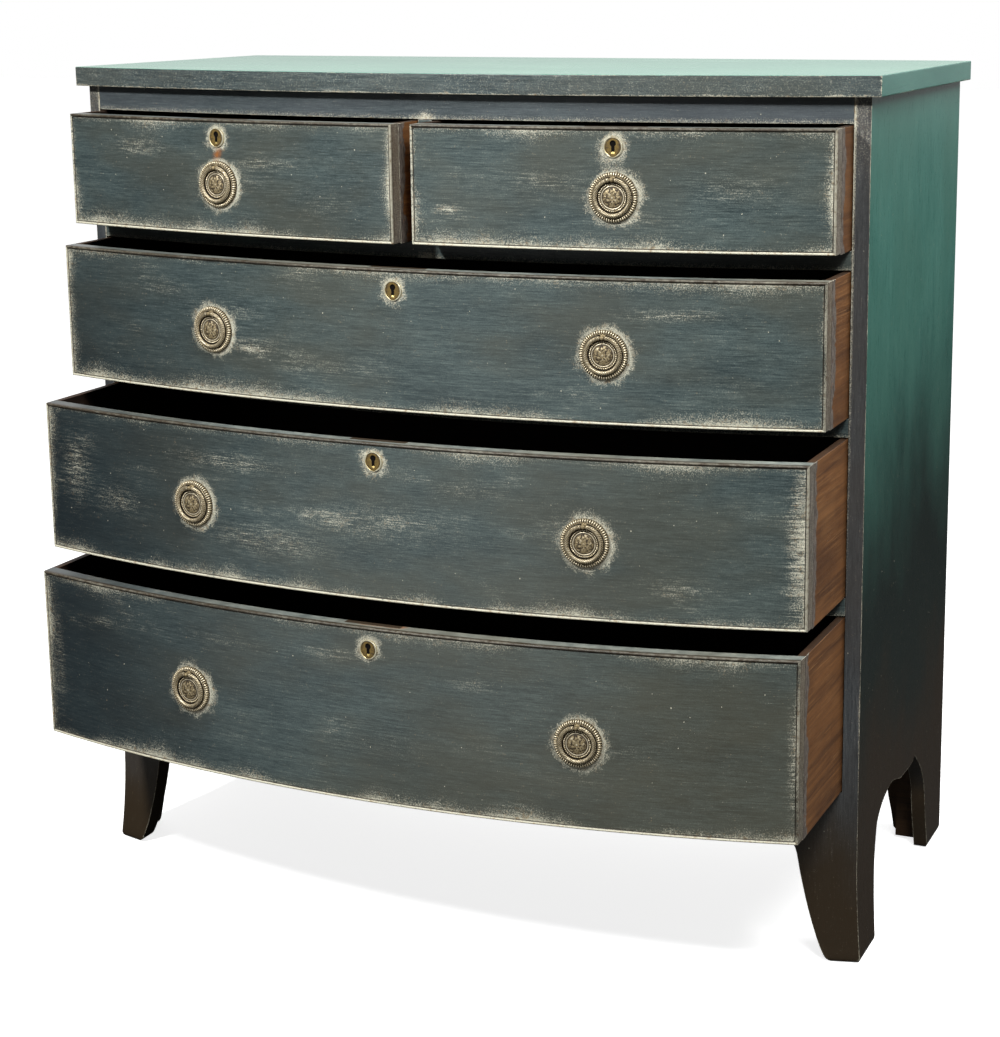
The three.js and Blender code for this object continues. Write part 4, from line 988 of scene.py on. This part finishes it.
for drawer, (lock_drop, pull_share, pull_sides, patches) in DRAWERS.items():
    body = drawer + "_drawer"
    travel = TRAVEL[body]
    low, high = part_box(body + "_front")
    x0, x1, z0, z1 = low.x, high.x, low.z, high.z
    length, height, middle = x1 - x0, z1 - z0, (x0 + x1) / 2
    pull_z = z0 + height * pull_share
    lock_z = z1 - lock_drop

    def place(x, t, z):
        px = x0 + x
        return (px, bow_y(px, -t) - travel, z0 + z)

    def halo(x, t, z):
        if t > FACE:
            return FAR
        px, pz = x0 + x, z0 + z
        away = math.hypot(px - middle, pz - lock_z) - KEY_HALO
        for s in pull_sides:
            dx, dz = px - s * PULL_X, pz - pull_z
            off = math.hypot(dx, dz)
            away = min(away, off - PULL_HALO - 0.002 * (0.9 * dx - 0.4 * dz) / max(off, 1e-6))
        return away / MM

    def feather(x, t, z):
        if t > FACE:
            return 0.35 if min(x, length - x) < 1e-6 else 0.0
        total = 0.0
        for away, along, most, reach, seed in ((x, z, 1.1, 0.006, 1), (length - x, z, 1.3, 0.0035, 2),
                                               (z, x, 1.15, 0.006, 3), (height - z, x, 0.9, 0.0055, 4)):
            swell = noise.noise(Vector((along * 9.0, seed * 7.3, z0 * 31.0)))
            swell += 0.5 * noise.noise(Vector((along * 31.0, seed, z0 * 17.0)))
            amount = most * min(1.3, max(0.0, 0.95 + 0.6 * swell))
            fall = reach * (0.7 + 0.9 * max(0.0, 0.5 + swell))
            total = max(total, amount * math.exp(-away / fall))
        return total

    def dry_patch(x, t, z):
        total = 0.0
        for u, v, ru, rv, amount in patches:
            away = math.hypot((x - u * length) / ru, (z - v * height) / rv)
            total = max(total, 0.6 * amount * math.exp(-away * away))
        return total if t <= FACE else 0.0

    def bead(x, t, z):
        d = min(x, length - x, z, height - z)
        if t > 0.0022 or d > BEAD + 0.0002:
            return 0.0
        return {height - z: -0.8, x: 0.65, length - x: -0.35, z: 0.9}[d]

    def stain(x, t, z):
        """Rust under the first key plate, and bare wood over the lowest lock."""
        dx, dz = x0 + x - middle, z0 + z - lock_z
        if drawer == "top_left" and t < FACE:
            return 0.9 * math.exp(-((dx + 0.001) / 0.0035) ** 2 - ((dz + 0.0185) / 0.0065) ** 2)
        if drawer == "lower" and t > 0.006 and z > height - 0.001:
            return 0.9 * (1 - smooth(0.022, 0.028, abs(dx - 0.012)))
        return 0.0

    def cast(x, t, z):
        """Painted shade: low on the left the paint is darkened to a dark blue. Low on the right it yellowed.
        """
        px, pz = x0 + x, z0 + z
        lower_left_shade = smooth(-0.05, -0.5, px) * (0.15 + 0.85 * smooth(1.0, 0.5, pz))
        return lower_left_shade - 0.6 * smooth(-0.1, 0.4, px) * smooth(0.6, 0.2, pz)

    front = lattice(
        body + "_bow", stops(length, 0.009, FRONT_STOPS), FRONT_LAYERS, stops(height, 0.009, FRONT_STOPS),
        0.0005, place,
        {"": side_inside, "front": paint_front, "top": paint_bead, "left": paint_end, "right": paint_end,
         "back": inside_along, "bottom": paint_plain},
        lambda x, z: bead_relief(min(x, length - x, z, height - z)),
        {worn.__name__: worn for worn in (halo, feather, dry_patch, bead, stain, cast)})
    dress(front, body, "front_paint", body + "_front")

    for label, edge_x, way in (("left", x0, 1), ("right", x1, -1)):
        node = body + "_side_" + label
        low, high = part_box(node)
        behind = min(bow_y(x, -FRONT_THICKNESS) for x in (edge_x, edge_x + way * LINING)) - travel
        board_low = (low.x, behind + 0.0002, low.z)
        face_y = bow_y(edge_x) - travel
        depth = lambda x, t, z, y=board_low[1] - face_y: (t + y) / MM
        board = box_board(node + "_board", board_low, (high.x, high.y, high.z), 0.0008,
                          {"": side_inside, label: side_outside, "top": side_edge_wood}, 0.012,
                          {"depth": depth})
        dress(board, body, "drawer_lining", node)
    clad(body + "_back", inside_along)
    clad(body + "_bottom", inside_along)

    face = bow_y(middle) - travel
    plate = metal_piece(drawer + "_key_plate", key_plate, lock_metal, middle, face, lock_z, 30)
    # the keyhole's bottom face gets the near black material: painted shade
    plate.data.materials.append(keyhole_painted_shade)
    plate.data.polygons[-1].material_index = 1
    dress(plate, body, "lock_brass", drawer + "_lock")
    for name, (low, high, radius) in LOCK_BOXES.items():
        piece = box_board(drawer + name, low, high, radius, {"": dark_metal}, 0.02,
                          {"hollow": lambda x, t, z: 0.5})
        piece.matrix_world = on_bow(bow_angle(middle), middle, face, z1)
        dress(piece, body, "lock_brass")

    for s in pull_sides:
        x = s * PULL_X
        suffix = "" if len(pull_sides) == 1 else ("_left" if s < 0 else "_right")
        y = bow_y(x) - travel
        plate = metal_piece(drawer + "_fluted_plate" + suffix, plate_parts, pull_metal, x, y, pull_z, 50)
        dress(plate, body, "pull_brass", drawer + "_pull_plate" + suffix)
        a = bow_angle(x)
        spin = on_bow(a, x + PIVOT * MM * math.sin(a), y - PIVOT * MM * math.cos(a), pull_z + RING * MM)
        verts, faces, hollow = ring_parts
        ring = build(drawer + "_ribbed_ring" + suffix, [spin @ Vector(v) for v in verts], faces,
                     [pull_metal], None, {"hollow": hollow}, 50)
        dress(ring, drawer + "_ring" + suffix, "pull_brass", drawer + "_pull_ring" + suffix)

# ---- floor, room and light
FLOOR_HALF, FLOOR_DROP = 20, 0.0004
floor_mesh = bpy.data.meshes.new("floor")
floor_corners = [(x * FLOOR_HALF, y * FLOOR_HALF, 0) for x, y in ((-1, -1), (1, -1), (1, 1), (-1, 1))]
floor_mesh.from_pydata(floor_corners, [], [(0, 1, 2, 3)])
floor = add_object("floor", floor_mesh)
floor.location.z = -FLOOR_DROP
# the camera sees a pale studio; the chest is lit by a dim room with a bright backdrop behind
pale = Nodes(bpy.data.materials.new("pale_floor"))
seen = pale.camera_ray()
floor_colour = pale.mix(seen, rgb(70, 70, 69), rgb(250, 250, 249))
floor_mesh.materials.append(pale.finish(floor_colour, 0.9, specular=0.1))
pale.put(rgb(255, 255, 255), pale.shader.inputs["Emission Color"])
pale.put(pale.times(seen, 0.8), pale.shader.inputs["Emission Strength"])

DIM, BACKDROP = 0.08, 0.76
sky = Nodes(bpy.data.worlds.new("studio"), "Generated")
room = sky.step(sky.axis("Y"), 0.25, 0.7, DIM, BACKDROP)
level = sky.node("Mix", {0: sky.camera_ray(), 2: room, 3: 1.0}, data_type="FLOAT").outputs[0]
background = sky.tree.nodes["Background"].inputs
background["Color"].default_value = (1, 1, 1, 1)
sky.put(level, background["Strength"])
bpy.context.scene.world = sky.owner

LIGHTS = (  # place, aim, size and watts
    ("key", (-0.8, -2.3, 2.5), (0.1, -0.1, 0.6), (0.3, 0.3), 86),
    ("right", (1.5, -1.7, 2.9), (0.1, -0.1, 0.6), (1.0, 1.0), 92),
    ("sheen", (-0.4, -1.6, 0.41), (-0.4, -0.82, 1.81), (1.2, 1.6), 3.2),
    ("side", (2.0, 0.9, 2.2), (0.5, 0.1, 0.9), (0.8, 0.8), 30),
)
for name, at, aim, size, watts in LIGHTS:
    data = bpy.data.lights.new(name, "AREA")
    data.shape = "RECTANGLE"
    data.size, data.size_y = size
    data.energy = watts
    lamp = add_object(name, data)
    lamp.location = at
    lamp.rotation_euler = (Vector(aim) - Vector(at)).to_track_quat("-Z", "Y").to_euler()
bpy.context.scene.view_settings.view_transform = "Standard"
